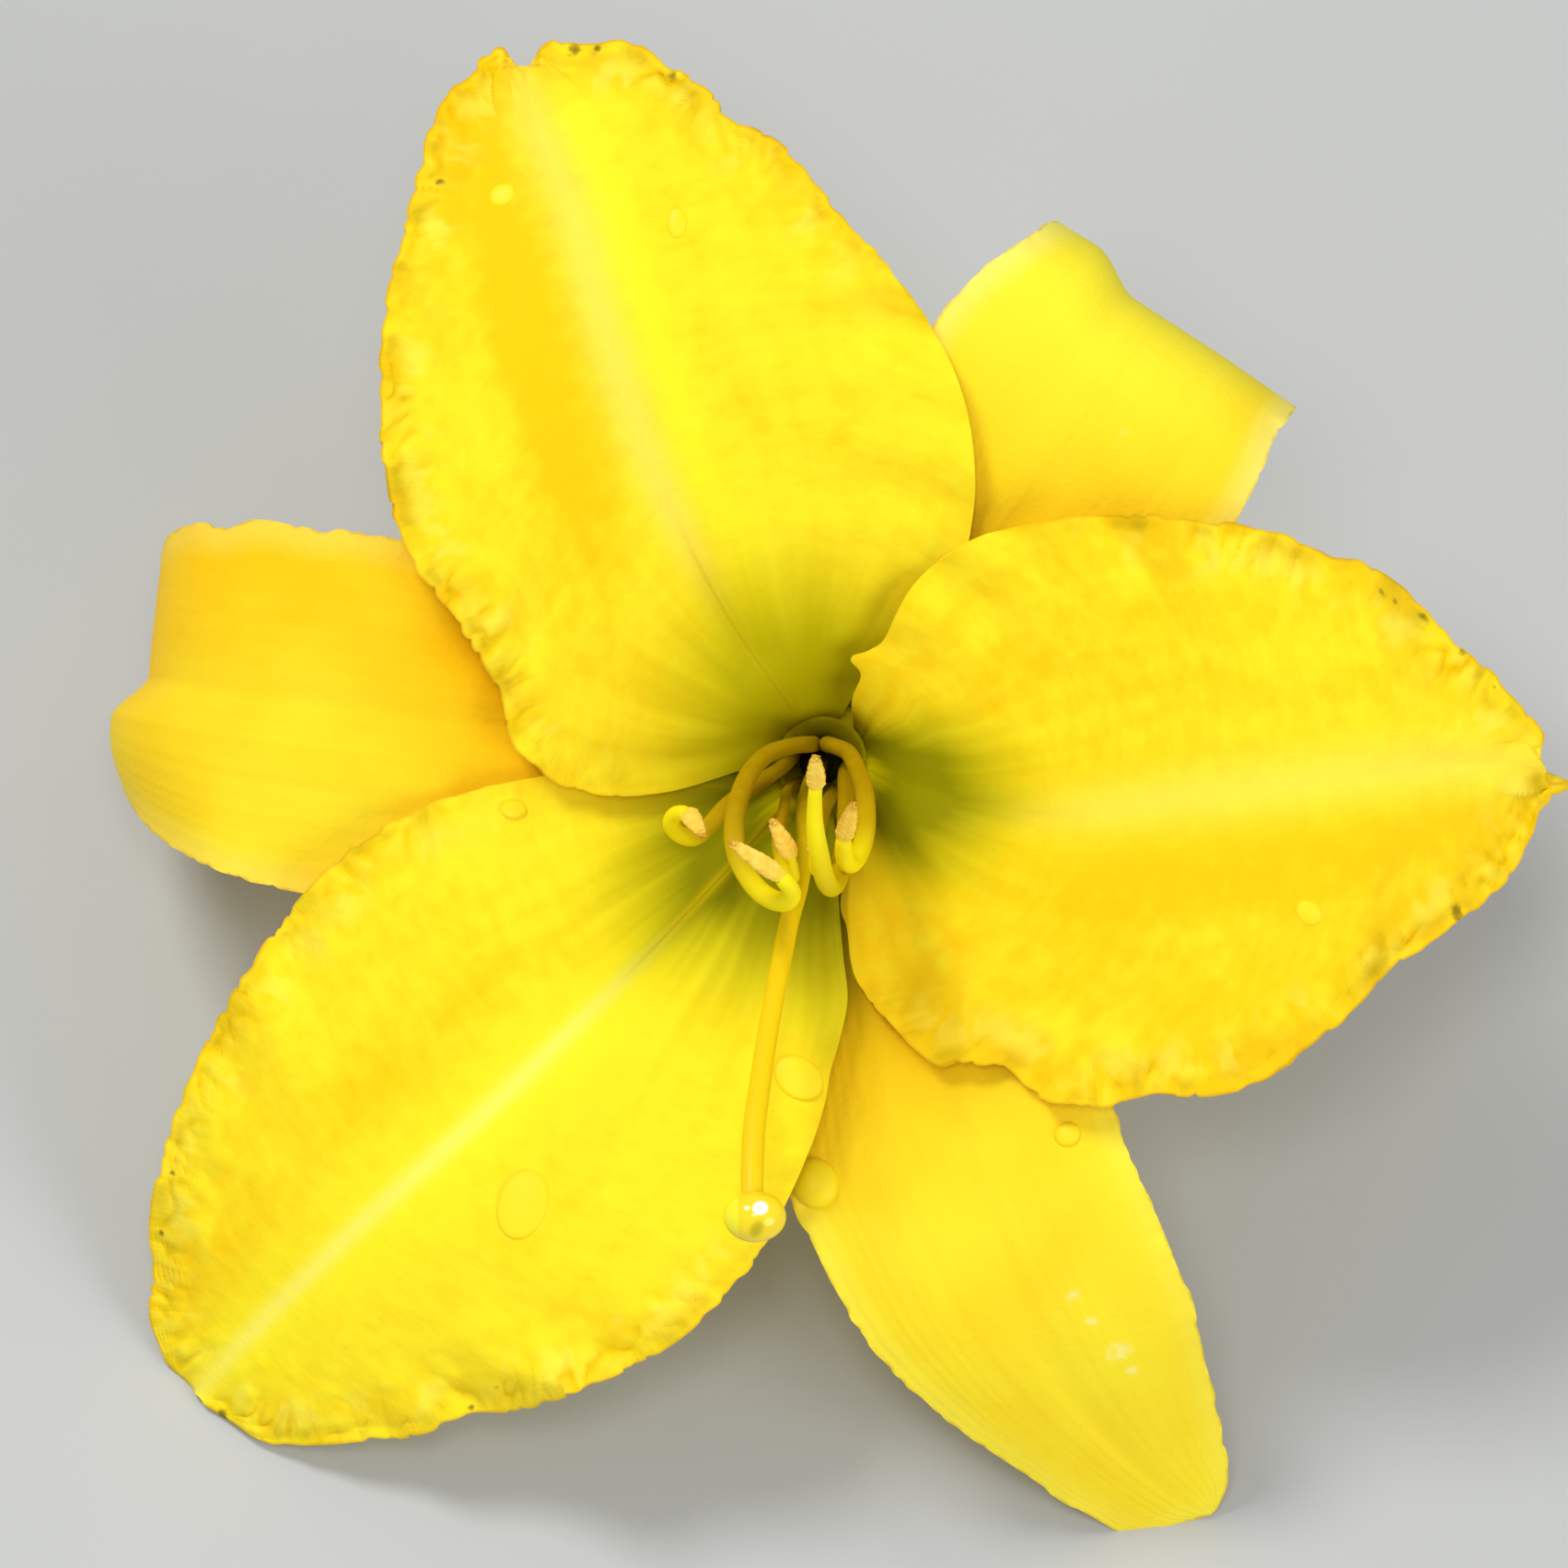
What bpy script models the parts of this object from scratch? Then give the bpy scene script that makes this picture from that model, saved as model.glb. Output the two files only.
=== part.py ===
"""A picked daylily bloom, lying on a flat surface.

The bloom is drawn in its own frame: the origin is the mouth of the throat, +Z runs along the
flower's axis towards the viewer, +X is right and +Y is up as one looks into the flower. Sizes and
outline points are in millimetres. An empty then carries the whole bloom to where it rests: it leans
on the cut end of its stalk, the tip of the lower left petal and the tip of the lower right sepal.
"""
import math

import bmesh
import bpy
import numpy as np
from mathutils import Matrix, Vector

MM = 0.001

# The bowl that the six tepals share, as (radius, height) from the throat outwards.
BOWL = (
    (4.6, 0.5), (4.8, 3.0), (5.5, 5.6), (6.8, 8.2), (9.0, 10.9), (13.0, 14.0), (20.0, 17.8),
    (30.0, 21.6), (42.0, 24.2), (54.0, 24.6), (66.0, 21.8), (78.0, 16.2), (92.0, 7.0),
)
BOWL_STEPS = 800
LINE_STEPS = 600
ANGLE_RADIUS = 24.0  # the radius at which the angles of a rail are measured as lengths

BLADE_THICKNESS = 0.8
BLADE_CREASE = 50.0  # edges sharper than this, in degrees, are drawn sharp
BASE_HALF_ANGLE = 50.0  # how far round the throat each tepal's foot reaches, in degrees
PETAL_ROWS, PETAL_COLUMNS = 34, 14
SEPAL_ROWS, SEPAL_COLUMNS = 24, 8

# How the blades lie off the bowl. A pair of numbers is a span in which a form grows in: along the
# bowl in millimetres for those named RUN, and as a share of the blade's length for the others.
UPRIGHT_RUN = (18.0, 34.0)  # the lift turns from square to the bowl to straight up
GROWN_RUN = (6.0, 14.0)
PETAL_TWIST = 1.15  # how far a margin lies over, or under, the neighbour's margin
PETAL_TWIST_RUN = (3.5, 9.5)
SEPAL_BASE_SET_BACK = 1.6
SEPAL_SET_BACK = 3.9  # how far the sepals lie behind the petals
SEPAL_SET_BACK_RUN = (4.5, 12.0)
CHANNEL_WIDTH = 0.13  # the groove over the rib, as a share of the half blade
CHANNEL_RUN = (8.0, 22.0)
CHANNEL_END = (0.85, 1.0)
PETAL_CHANNEL, SEPAL_CHANNEL = 0.8, 0.5
PETAL_BELLY, SEPAL_BELLY = 0.5, 0.4
DROOP_SPAN = (0.5, 1.05)
DROOP_POWER = 1.5

# The waves of the margins. A ruffle is (height, waves along the blade, share of the phase, start).
RUFFLES = ((0.5, 6.3, 1.0, 0.0), (0.55, 10.4, 2.3, 0.8))
RUFFLE_SIDE_PHASE = 1.7
RUFFLE_STARTS = (0.22, 0.42)
RUFFLE_DEEPENS = (0.45, 0.65)
RUFFLE_DEEPENING = 0.7
RUFFLE_ENDS = (0.80, 0.97)
RUFFLE_LOSS = 0.75
SEPAL_WAVE = 0.35
SEPAL_WAVES = 4.3
SEPAL_WAVE_SLANT = 2.0
SEPAL_WAVE_STARTS = (0.5, 0.7)

# Each rail runs from the throat to the tip. "before" is the margin on the clockwise side and
# "after" the one on the counter-clockwise side. The first point, on the throat's ring, is worked
# out from the bearing. "roll" turns a tip back and under on a circle, from its start along its
# bearing; its flare is how much later one side rolls, and the four places across it, in pairs,
# between which that side begins and ends.
TEPALS = {
    "petal_upper": {
        "bearing": 118,
        "rib": (
            (-7.0, 10.7), (-13.9, 22.9), (-19.6, 37.4), (-23.5, 51.0), (-27.9, 62.0),
            (-30.0, 67.6),
        ),
        "after": (
            (-7.2, -0.4), (-14.3, -2.8), (-23.5, -2.8), (-29.3, 1.2), (-31.2, 7.0), (-35.0, 13.4),
            (-39.8, 20.0), (-42.4, 32.5), (-42.0, 42.5), (-39.4, 54.0), (-37.2, 62.0),
            (-34.0, 66.2), (-31.4, 68.2),
        ),
        "before": (
            (3.6, 7.0), (7.6, 11.4), (12.4, 16.8), (14.4, 23.0), (14.6, 29.0), (13.4, 35.5),
            (10.3, 42.0), (5.5, 48.4), (0.0, 54.6), (-4.2, 59.4), (-9.8, 62.8), (-15.5, 67.4),
            (-19.4, 69.4), (-23.5, 69.2), (-28.4, 68.5),
        ),
        "tip_drop": 4.0,
        "phase": 0.3,
    },
    "petal_right": {
        "bearing": 355,
        "rib": (
            (9.6, -2.9), (18.8, -4.8), (32.3, -3.8), (45.9, -2.0), (59.6, -0.4), (70.2, -0.3),
        ),
        "after": (
            (3.5, 5.4), (3.8, 8.2), (4.8, 10.8), (7.4, 14.7), (13.8, 20.8), (19.7, 22.8),
            (28.0, 23.7), (37.0, 23.0), (43.0, 22.2), (48.5, 19.8), (57.8, 14.8), (64.8, 8.0),
            (68.6, 3.6), (70.2, 1.0),
        ),
        "before": (
            (2.4, -7.6), (1.7, -13.2), (2.7, -18.9), (6.8, -25.5), (12.0, -29.0), (19.0, -31.2),
            (27.2, -33.2), (37.8, -31.9), (43.0, -30.4), (50.8, -24.2), (60.2, -16.4),
            (66.8, -10.2), (69.0, -5.0), (70.4, -1.8),
        ),
        "tip_drop": 4.5,
        "phase": 2.1,
    },
    "petal_lower_left": {
        "bearing": 232,
        "rib": (
            (-8.8, -10.2), (-17.0, -18.8), (-30.5, -32.0), (-44.0, -44.2), (-53.0, -53.0),
            (-60.6, -61.0),
        ),
        "after": (
            (1.6, -8.4), (1.65, -13.5), (2.3, -20.6), (1.9, -26.0), (0.2, -33.0), (-2.6, -40.5),
            (-6.6, -48.0), (-13.4, -55.0), (-22.0, -59.8), (-31.6, -62.6), (-39.0, -64.7),
            (-46.8, -65.7), (-53.5, -65.3), (-59.2, -62.4),
        ),
        "before": (
            (-7.6, -1.2), (-12.4, -0.2), (-20.5, -0.5), (-28.0, -1.6), (-36.0, -3.5), (-44.0, -7.5),
            (-51.0, -14.4), (-57.6, -24.2), (-62.3, -34.5), (-64.4, -44.0), (-64.6, -53.0),
            (-61.7, -59.4),
        ),
        "tip_drop": 1.0,
        "phase": 4.0,
    },
    "sepal_left": {
        "bearing": 174,
        "rib": ((-20.0, 2.0), (-40.0, 4.4), (-60.0, 6.4), (-84.5, 8.2)),
        "after": (
            (-10.5, -6.4), (-22.0, -11.5), (-36.0, -13.8), (-49.8, -12.6), (-56.2, -11.1),
            (-63.0, -8.0), (-69.0, -4.6), (-77.0, 1.5), (-84.0, 7.0),
        ),
        "before": (
            (-10.0, 8.8), (-25.0, 15.8), (-40.2, 21.2), (-50.0, 22.7), (-56.0, 23.1),
            (-62.8, 22.6), (-67.2, 21.2), (-71.5, 18.6), (-78.5, 14.0), (-84.2, 9.4),
        ),
        "roll": {
            "bearing": 175, "start": 55.6, "radius": 9.5, "flare": (3.4, -2.5, 2.0, 3.0, 14.0),
        },
        "tip_drop": 2.0,
        "phase": 1.2,
    },
    "sepal_upper_right": {
        "bearing": 50,
        "rib": ((11.6, 13.9), (23.0, 27.6), (34.0, 42.0), (43.8, 60.2)),
        "after": (
            (0.7, 12.5), (4.2, 25.2), (8.4, 37.5), (13.0, 45.0), (19.8, 50.8), (27.0, 56.8),
            (35.0, 60.8), (42.4, 60.9),
        ),
        "before": (
            (12.2, 2.8), (24.1, 8.5), (34.5, 15.6), (40.6, 24.4), (43.6, 31.4), (45.7, 34.4),
            (48.2, 38.6), (49.2, 50.0), (44.8, 59.4),
        ),
        "roll": {
            "bearing": 57, "start": 44.4, "radius": 9.0, "flare": (2.5, -1.0, 5.0, 9.0, 20.0),
        },
        "tip_drop": 1.0,
        "phase": 5.1,
    },
    "sepal_lower_right": {
        "bearing": 290,
        "rib": ((7.0, -20.0), (14.3, -41.9), (22.4, -58.5), (30.5, -68.0), (37.6, -72.8)),
        "after": (
            (12.1, -8.0), (20.6, -15.4), (25.8, -26.0), (28.9, -36.0), (32.0, -43.2), (35.2, -50.9),
            (37.2, -58.6), (38.7, -65.6), (39.3, -69.0), (38.3, -72.2),
        ),
        "before": (
            (-2.7, -14.2), (-3.6, -28.3), (-3.2, -41.7), (-0.8, -46.4), (3.8, -55.0), (10.0, -61.7),
            (18.2, -67.8), (25.4, -72.6), (30.6, -74.8), (35.4, -73.4),
        ),
        "tip_drop": 13.0,
        "phase": 3.3,
    },
}

# The tube behind the throat, with the stalk it was cut from, as (radius, height).
TUBE_OUTSIDE = (
    (7.0, 0.2), (6.9, -1.6), (5.8, -5.0), (4.9, -9.5), (4.1, -15.0), (3.7, -21.0), (3.5, -25.0),
    (2.8, -26.6), (2.6, -31.5),
)
TUBE_INSIDE = ((4.25, 0.2), (4.25, -8.2), (3.3, -11.5), (2.5, -15.5), (2.5, -23.5))
TUBE_SIDES = 20
TUBE_CREASE = 40.0

# Each stamen: where its filament runs, from inside the throat, and its anther's foot and tip.
STAMENS = (
    {
        "path": (
            (-1.2, 1.7, -8.0), (-1.1, 1.7, 2.0), (-1.5, 1.65, 9.0), (-2.9, 1.5, 13.0),
            (-5.1, 0.75, 17.0), (-6.8, -0.9, 21.5), (-7.8, -3.0, 25.5), (-8.4, -5.6, 29.5),
            (-8.3, -8.4, 32.5), (-7.5, -10.4, 34.5), (-6.3, -12.1, 36.3), (-4.8, -13.2, 38.3),
            (-3.5, -13.4, 40.0), (-2.9, -12.6, 41.5),
        ),
        "anther": ((-3.5, -11.3, 42.8), (-8.9, -7.6, 45.0)),
    },
    {
        "path": (
            (-2.1, -1.9, -8.0), (-2.4, -2.1, 2.0), (-3.3, -2.6, 9.0), (-3.6, -4.2, 15.5),
            (-4.0, -6.2, 21.5), (-4.25, -8.0, 26.5), (-3.9, -9.7, 30.5), (-3.2, -11.0, 33.8),
            (-2.7, -11.0, 36.3),
        ),
        "anther": ((-2.8, -9.3, 38.8), (-4.9, -5.5, 42.3)),
    },
    {
        "path": (
            (3.0, -0.3, -8.0), (2.7, -0.4, 3.0), (2.3, -1.2, 10.0), (2.3, -3.0, 17.0),
            (2.3, -5.6, 23.0), (2.1, -8.2, 28.0), (1.75, -10.2, 32.0), (1.3, -11.6, 35.0),
            (0.75, -12.0, 37.3), (0.2, -11.1, 39.0), (-0.3, -9.0, 40.8), (-0.7, -6.4, 42.4),
            (-0.75, -4.2, 43.6),
        ),
        "anther": ((-0.6, -2.7, 44.2), (-0.7, 0.6, 48.4)),
    },
    {
        "path": (
            (1.2, 1.7, -8.0), (1.1, 1.7, 2.0), (1.0, 1.65, 8.5), (1.5, 1.45, 11.5),
            (2.5, 0.85, 14.5), (3.4, -0.9, 19.0), (4.0, -2.8, 23.0), (4.2, -4.9, 26.5),
            (4.1, -6.8, 29.2), (3.6, -8.6, 31.6), (2.85, -9.75, 33.8), (2.2, -9.5, 36.0),
        ),
        "anther": ((1.9, -7.7, 38.0), (3.0, -3.9, 42.8)),
    },
    {
        "path": (
            (-2.9, 0.3, -8.0), (-3.0, 0.2, 2.0), (-4.2, -0.8, 9.5), (-6.6, -2.4, 14.0),
            (-9.2, -4.3, 17.5), (-10.9, -6.2, 20.0), (-12.3, -7.3, 22.3), (-13.7, -7.0, 24.5),
            (-14.5, -6.0, 26.2), (-14.1, -5.1, 27.6),
        ),
        "anther": ((-13.0, -4.7, 28.6), (-11.3, -7.2, 33.8)),
    },
    {
        "path": (
            (1.0, -2.8, -8.0), (1.0, -3.0, 3.0), (0.7, -3.6, 10.0), (0.1, -4.6, 16.0),
            (-0.4, -6.3, 21.5), (-0.6, -8.4, 26.0), (-0.55, -10.0, 29.0), (-0.5, -10.3, 31.0),
        ),
        "anther": ((-0.5, -9.2, 32.8), (-0.8, -5.0, 36.6)),
    },
)
FILAMENT_RADIUS = 0.86
FILAMENT_TIP_RADIUS = 0.5
FILAMENT_TAPER = (0.78, 1.0)
FILAMENT_POINTS = 17
ANTHER_RADIUS = 0.8
ANTHER_SIDES = 8
ANTHER_GROOVE = 0.22
ANTHER_FLATNESS = 0.85
SEAT_GAP = 0.55

# The pistil: the ovary sits in the foot of the tube and runs on as the style, as (x, y, z, radius).
PISTIL = (
    (0.0, 0.0, -23.2, 1.2), (0.0, 0.0, -21.8, 1.95), (0.0, 0.0, -19.4, 2.1), (0.0, 0.0, -17.0, 1.6),
    (0.0, 0.0, -15.0, 1.0), (-0.2, -0.3, -7.0, 0.85), (-0.5, -0.9, 2.0, 0.85),
    (-1.2, -2.5, 8.0, 0.85), (-1.7, -5.1, 13.0, 0.88), (-1.7, -8.7, 18.3, 0.9),
    (-2.25, -12.0, 22.3, 0.92), (-3.15, -15.3, 25.8, 0.95), (-4.2, -20.6, 30.3, 0.97),
    (-5.2, -25.9, 34.6, 0.97), (-5.9, -30.5, 38.2, 0.96), (-6.5, -35.0, 41.5, 0.92),
    (-6.7, -39.6, 44.2, 0.82), (-6.65, -42.4, 45.6, 0.8), (-6.6, -43.6, 46.2, 1.0),
)
PISTIL_POINTS = 32

FIRST_UP = Vector((0.17, 0.44, 0.88))  # about which way is up for the resting bloom
REST_ROUNDS = 12
REST_DIP = 0.3  # how much is cut off each resting point to leave a small flat


def smooth_line(points, count):
    """A smooth curve through the points, as count rows evenly spaced along it."""
    points = np.array(points, float)
    steps = np.linalg.norm(np.diff(points, axis=0), axis=1) ** 0.5
    knots = np.concatenate([[0.0], np.cumsum(steps)])
    slopes = np.gradient(points, knots, axis=0, edge_order=2)
    fine = np.linspace(0.0, knots[-1], LINE_STEPS)
    span = np.clip(np.searchsorted(knots, fine, "right") - 1, 0, len(knots) - 2)
    width = (knots[span + 1] - knots[span])[:, None]
    t = (fine - knots[span])[:, None] / width
    curve = (
        (2 * t**3 - 3 * t**2 + 1) * points[span]
        + (t**3 - 2 * t**2 + t) * width * slopes[span]
        + (3 * t**2 - 2 * t**3) * points[span + 1]
        + (t**3 - t**2) * width * slopes[span + 1]
    )
    along = np.concatenate([[0.0], np.cumsum(np.linalg.norm(np.diff(curve, axis=0), axis=1))])
    want = np.linspace(0.0, along[-1], count)
    return np.stack([np.interp(want, along, column) for column in curve.T], axis=1)


def smooth_step(value, start, end):
    t = np.clip((value - start) / (end - start), 0.0, 1.0)
    return t * t * (3.0 - 2.0 * t)


BOWL_LINE = smooth_line(BOWL, BOWL_STEPS)
BOWL_RUN = np.concatenate([[0.0], np.cumsum(np.linalg.norm(np.diff(BOWL_LINE, axis=0), axis=1))])
BOWL_SLOPE = np.gradient(BOWL_LINE[:, 1], BOWL_RUN)


def bowl_point(run, angle, lift):
    """The point at a run and angle on the bowl, lifted off it."""
    radius = np.interp(run, BOWL_RUN, BOWL_LINE[:, 0])
    height = np.interp(run, BOWL_RUN, BOWL_LINE[:, 1])
    lean = np.interp(run, BOWL_RUN, BOWL_SLOPE) * (1.0 - smooth_step(run, *UPRIGHT_RUN))
    radius = radius - lift * lean
    height = height + lift * np.sqrt(1.0 - lean**2)
    return np.stack([radius * np.cos(angle), radius * np.sin(angle), height], axis=-1)


def rail(points, bearing, turn, count):
    """A rib or margin, as its run along the bowl and its angle from the tepal's bearing."""
    rows = [(0.0, math.radians(turn) * ANGLE_RADIUS)]
    for x, y in points:
        angle = math.atan2(y, x) - math.radians(bearing)
        angle = (angle + math.pi) % (2.0 * math.pi) - math.pi
        run = float(np.interp(math.hypot(x, y), BOWL_LINE[:, 0], BOWL_RUN))
        rows.append((run, angle * ANGLE_RADIUS))
    line = smooth_line(rows, count)
    return line[:, 0], line[:, 1] / ANGLE_RADIUS


def ruffle(u, v, phase):
    """The waves of a petal's margin."""
    side = np.where(v < 0.0, RUFFLE_SIDE_PHASE, 0.0) + phase
    waves = sum(
        height * np.sin(2.0 * math.pi * count * u + share * side + start)
        for height, count, share, start in RUFFLES
    )
    along = smooth_step(u, *RUFFLE_STARTS) * (1.0 - RUFFLE_LOSS * smooth_step(u, *RUFFLE_ENDS))
    deeper = 1.0 + RUFFLE_DEEPENING * smooth_step(u, *RUFFLE_DEEPENS)
    return waves * np.abs(v) ** 3 * along * deeper


def petal_lift(u, v, run, phase):
    """How far a petal's middle surface lies off the bowl."""
    twist = PETAL_TWIST * np.sin(v * math.pi / 2.0) * smooth_step(run, *PETAL_TWIST_RUN)
    belly = PETAL_BELLY * (1.0 - v**2) * smooth_step(run, *GROWN_RUN)
    return twist + belly - PETAL_CHANNEL * channel(u, v, run) + ruffle(u, v, phase)


def sepal_lift(u, v, run, phase):
    """How far a sepal's middle surface lies off the bowl. It is negative: behind the petals."""
    settled = smooth_step(run, *SEPAL_SET_BACK_RUN)
    set_back = SEPAL_BASE_SET_BACK + (SEPAL_SET_BACK - SEPAL_BASE_SET_BACK) * settled
    belly = SEPAL_BELLY * (1.0 - v**2) * smooth_step(run, *GROWN_RUN)
    wave = SEPAL_WAVE * np.sin(2.0 * math.pi * SEPAL_WAVES * u + phase + SEPAL_WAVE_SLANT * v)
    wave = wave * v**2 * smooth_step(u, *SEPAL_WAVE_STARTS)
    return belly + wave - set_back - SEPAL_CHANNEL * channel(u, v, run)


def channel(u, v, run):
    """The groove over a blade's rib, from 0 to 1."""
    across = np.exp(-((v / CHANNEL_WIDTH) ** 2))
    return across * smooth_step(run, *CHANNEL_RUN) * (1.0 - smooth_step(u, *CHANNEL_END))


def tepal_points(shape, lift_off, rows, columns):
    """The middle surface of a tepal, as an array of rows by columns points."""
    u = np.linspace(0.0, 1.0, rows + 1)[:, None]
    v = np.linspace(-1.0, 1.0, columns + 1)[None, :]
    rib = rail(shape["rib"], shape["bearing"], 0.0, rows + 1)
    after = rail(shape["after"], shape["bearing"], BASE_HALF_ANGLE, rows + 1)
    before = rail(shape["before"], shape["bearing"], -BASE_HALF_ANGLE, rows + 1)
    run, angle = (
        middle[:, None] + np.abs(v) * (np.where(v > 0, left[:, None], right[:, None]) - middle[:, None])
        for middle, left, right in zip(rib, after, before)
    )
    lift = lift_off(u, v, run, shape["phase"])
    points = bowl_point(run, angle + math.radians(shape["bearing"]), lift)
    points[:, :, 2] -= shape["tip_drop"] * smooth_step(u, *DROOP_SPAN) ** DROOP_POWER
    if "roll" in shape:
        points = rolled(points, **shape["roll"])
    return points * MM


def rolled(points, bearing, start, radius, flare):
    """Rolls what lies beyond start, along a bearing, back and under on a circle."""
    way = math.radians(bearing)
    out = np.array([math.cos(way), math.sin(way), 0.0])
    side = points @ np.array([-math.sin(way), math.cos(way), 0.0])
    later, rise, risen, fall, fallen = flare
    start = start + later * smooth_step(side, rise, risen) * (1.0 - smooth_step(side, fall, fallen))
    beyond = np.maximum(points @ out - start, 0.0)
    turn = beyond / radius
    moved = points + (radius * np.sin(turn) - beyond)[..., None] * out
    moved[..., 2] -= radius * (1.0 - np.cos(turn))
    return moved


def material(name, colour, roughness):
    mat = bpy.data.materials.new(name)
    mat.use_nodes = True
    shader = mat.node_tree.nodes["Principled BSDF"]
    shader.inputs["Base Color"].default_value = (*colour, 1.0)
    shader.inputs["Roughness"].default_value = roughness
    shader.inputs["Metallic"].default_value = 0.0
    return mat


def node(name, shape, mat, carrier):
    thing = bpy.data.objects.new(name, shape)
    bpy.context.scene.collection.objects.link(thing)
    thing.data.materials.append(mat)
    thing.parent = carrier
    return thing


def solid(name, bm, crease, mat, carrier):
    """A node from a finished bmesh, smooth but for its edges sharper than the crease."""
    bmesh.ops.recalc_face_normals(bm, faces=bm.faces[:])
    mesh = bpy.data.meshes.new(name)
    bm.to_mesh(mesh)
    bm.free()
    mesh.shade_smooth()
    mesh.set_sharp_from_angle(angle=math.radians(crease))
    return node(name, mesh, mat, carrier)


def tepal(name, shape, lift_off, rows, columns, mat, carrier):
    """A thin blade: one grid bent to the tepal's surface, then given its thickness."""
    points = tepal_points(shape, lift_off, rows, columns)
    bm = bmesh.new()
    bmesh.ops.create_grid(bm, x_segments=columns, y_segments=rows, size=1.0)
    for vert in bm.verts:
        column = round((vert.co.x + 1.0) / 2.0 * columns)
        row = round((vert.co.y + 1.0) / 2.0 * rows)
        vert.co = points[row, column]
    bmesh.ops.triangulate(bm, faces=bm.faces[:])
    bm.normal_update()
    for vert in bm.verts:
        vert.co += vert.normal * BLADE_THICKNESS * MM / 2.0
    bmesh.ops.solidify(bm, geom=bm.faces[:], thickness=BLADE_THICKNESS * MM)
    bmesh.ops.triangulate(bm, faces=bm.faces[:])
    return solid(name, bm, BLADE_CREASE, mat, carrier)


def tube(name, mat, carrier):
    """The perianth tube: one closed outline turned about the flower's axis."""
    outline = list(TUBE_INSIDE[::-1]) + list(TUBE_OUTSIDE)
    outline = [(0.0, TUBE_INSIDE[-1][1])] + outline + [(0.0, TUBE_OUTSIDE[-1][1])]
    bm = bmesh.new()
    verts = [bm.verts.new((radius * MM, 0.0, height * MM)) for radius, height in outline]
    edges = [bm.edges.new(pair) for pair in zip(verts, verts[1:])]
    bmesh.ops.spin(
        bm, geom=verts + edges, cent=(0, 0, 0), axis=(0, 0, 1), angle=2.0 * math.pi,
        steps=TUBE_SIDES, use_merge=True,
    )
    bmesh.ops.remove_doubles(bm, verts=bm.verts[:], dist=MM / 1000.0)
    return solid(name, bm, TUBE_CREASE, mat, carrier)


def stem(name, rows, roundness, mat, carrier):
    """A round stem through rows of (x, y, z, radius), with closed ends."""
    curve = bpy.data.curves.new(name, "CURVE")
    curve.dimensions = "3D"
    curve.bevel_depth = MM
    curve.bevel_resolution = roundness
    curve.use_fill_caps = True
    spline = curve.splines.new("POLY")
    spline.points.add(len(rows) - 1)
    for point, (x, y, z, radius) in zip(spline.points, rows):
        point.co = (x * MM, y * MM, z * MM, 1.0)
        point.radius = radius
    return node(name, curve, mat, carrier)


def filament(name, stamen, mat, carrier):
    """A filament ends just short of its anther's foot."""
    foot, tip = (np.array(end) for end in stamen["anther"])
    seat = foot - SEAT_GAP * (tip - foot) / np.linalg.norm(tip - foot)
    line = smooth_line(list(stamen["path"]) + [tuple(seat)], FILAMENT_POINTS)
    taper = smooth_step(np.linspace(0.0, 1.0, FILAMENT_POINTS), *FILAMENT_TAPER)
    radii = FILAMENT_RADIUS + (FILAMENT_TIP_RADIUS - FILAMENT_RADIUS) * taper
    rows = [(*point, radius) for point, radius in zip(line, radii)]
    return stem(name, rows, 1, mat, carrier)


def anther(name, stamen, mat, carrier):
    """A long pollen sac, grooved along its face, from its foot to its tip."""
    foot, tip = (Vector(end) * MM for end in stamen["anther"])
    along = tip - foot
    bm = bmesh.new()
    bmesh.ops.create_uvsphere(bm, u_segments=ANTHER_SIDES, v_segments=ANTHER_SIDES, radius=1.0)
    for vert in bm.verts:
        full = max(0.0, 1.0 - vert.co.z**4) ** 0.5
        around = vert.co.xy.normalized() if full > 0.0 else Vector((0.0, 0.0))
        groove = 1.0 - ANTHER_GROOVE * max(0.0, around.y) ** 4
        vert.co = (
            around.x * full * ANTHER_RADIUS * MM,
            around.y * full * groove * ANTHER_FLATNESS * ANTHER_RADIUS * MM,
            vert.co.z * along.length / 2.0,
        )
    turn = along.to_track_quat("Z", "Y").to_matrix().to_4x4()
    bmesh.ops.transform(bm, matrix=Matrix.Translation((foot + tip) / 2.0) @ turn, verts=bm.verts[:])
    return solid(name, bm, 180.0, mat, carrier)


def lowest(thing, up):
    return min((vert.co.copy() for vert in thing.data.vertices), key=lambda co: co.dot(up))


def resting_turn(feet):
    """The turn that stands the bloom on the lowest points of its three feet."""
    up = FIRST_UP
    for _ in range(REST_ROUNDS):
        first, second, third = (lowest(foot, up) for foot in feet)
        up = (second - first).cross(third - first).normalized()
        if up.z < 0.0:
            up.negate()
    back = (Vector((0.0, 1.0, 0.0)) - up * up.y).normalized()
    turn = Matrix((back.cross(up), back, up)).to_4x4()
    return turn, up, first.dot(up)


def flatten_foot(thing, up, height):
    """Cuts off what lies below the resting plane and closes the cut."""
    bm = bmesh.new()
    bm.from_mesh(thing.data)
    everything = bm.verts[:] + bm.edges[:] + bm.faces[:]
    cut = bmesh.ops.bisect_plane(
        bm, geom=everything, dist=1e-7, plane_co=up * height, plane_no=up, clear_inner=True
    )
    rim = [part for part in cut["geom_cut"] if isinstance(part, bmesh.types.BMEdge)]
    bmesh.ops.triangle_fill(bm, edges=rim, use_beauty=True)
    bmesh.ops.triangulate(bm, faces=bm.faces[:])
    bmesh.ops.recalc_face_normals(bm, faces=bm.faces[:])
    bm.to_mesh(thing.data)
    bm.free()


for old in list(bpy.data.objects):
    bpy.data.objects.remove(old)

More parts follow.
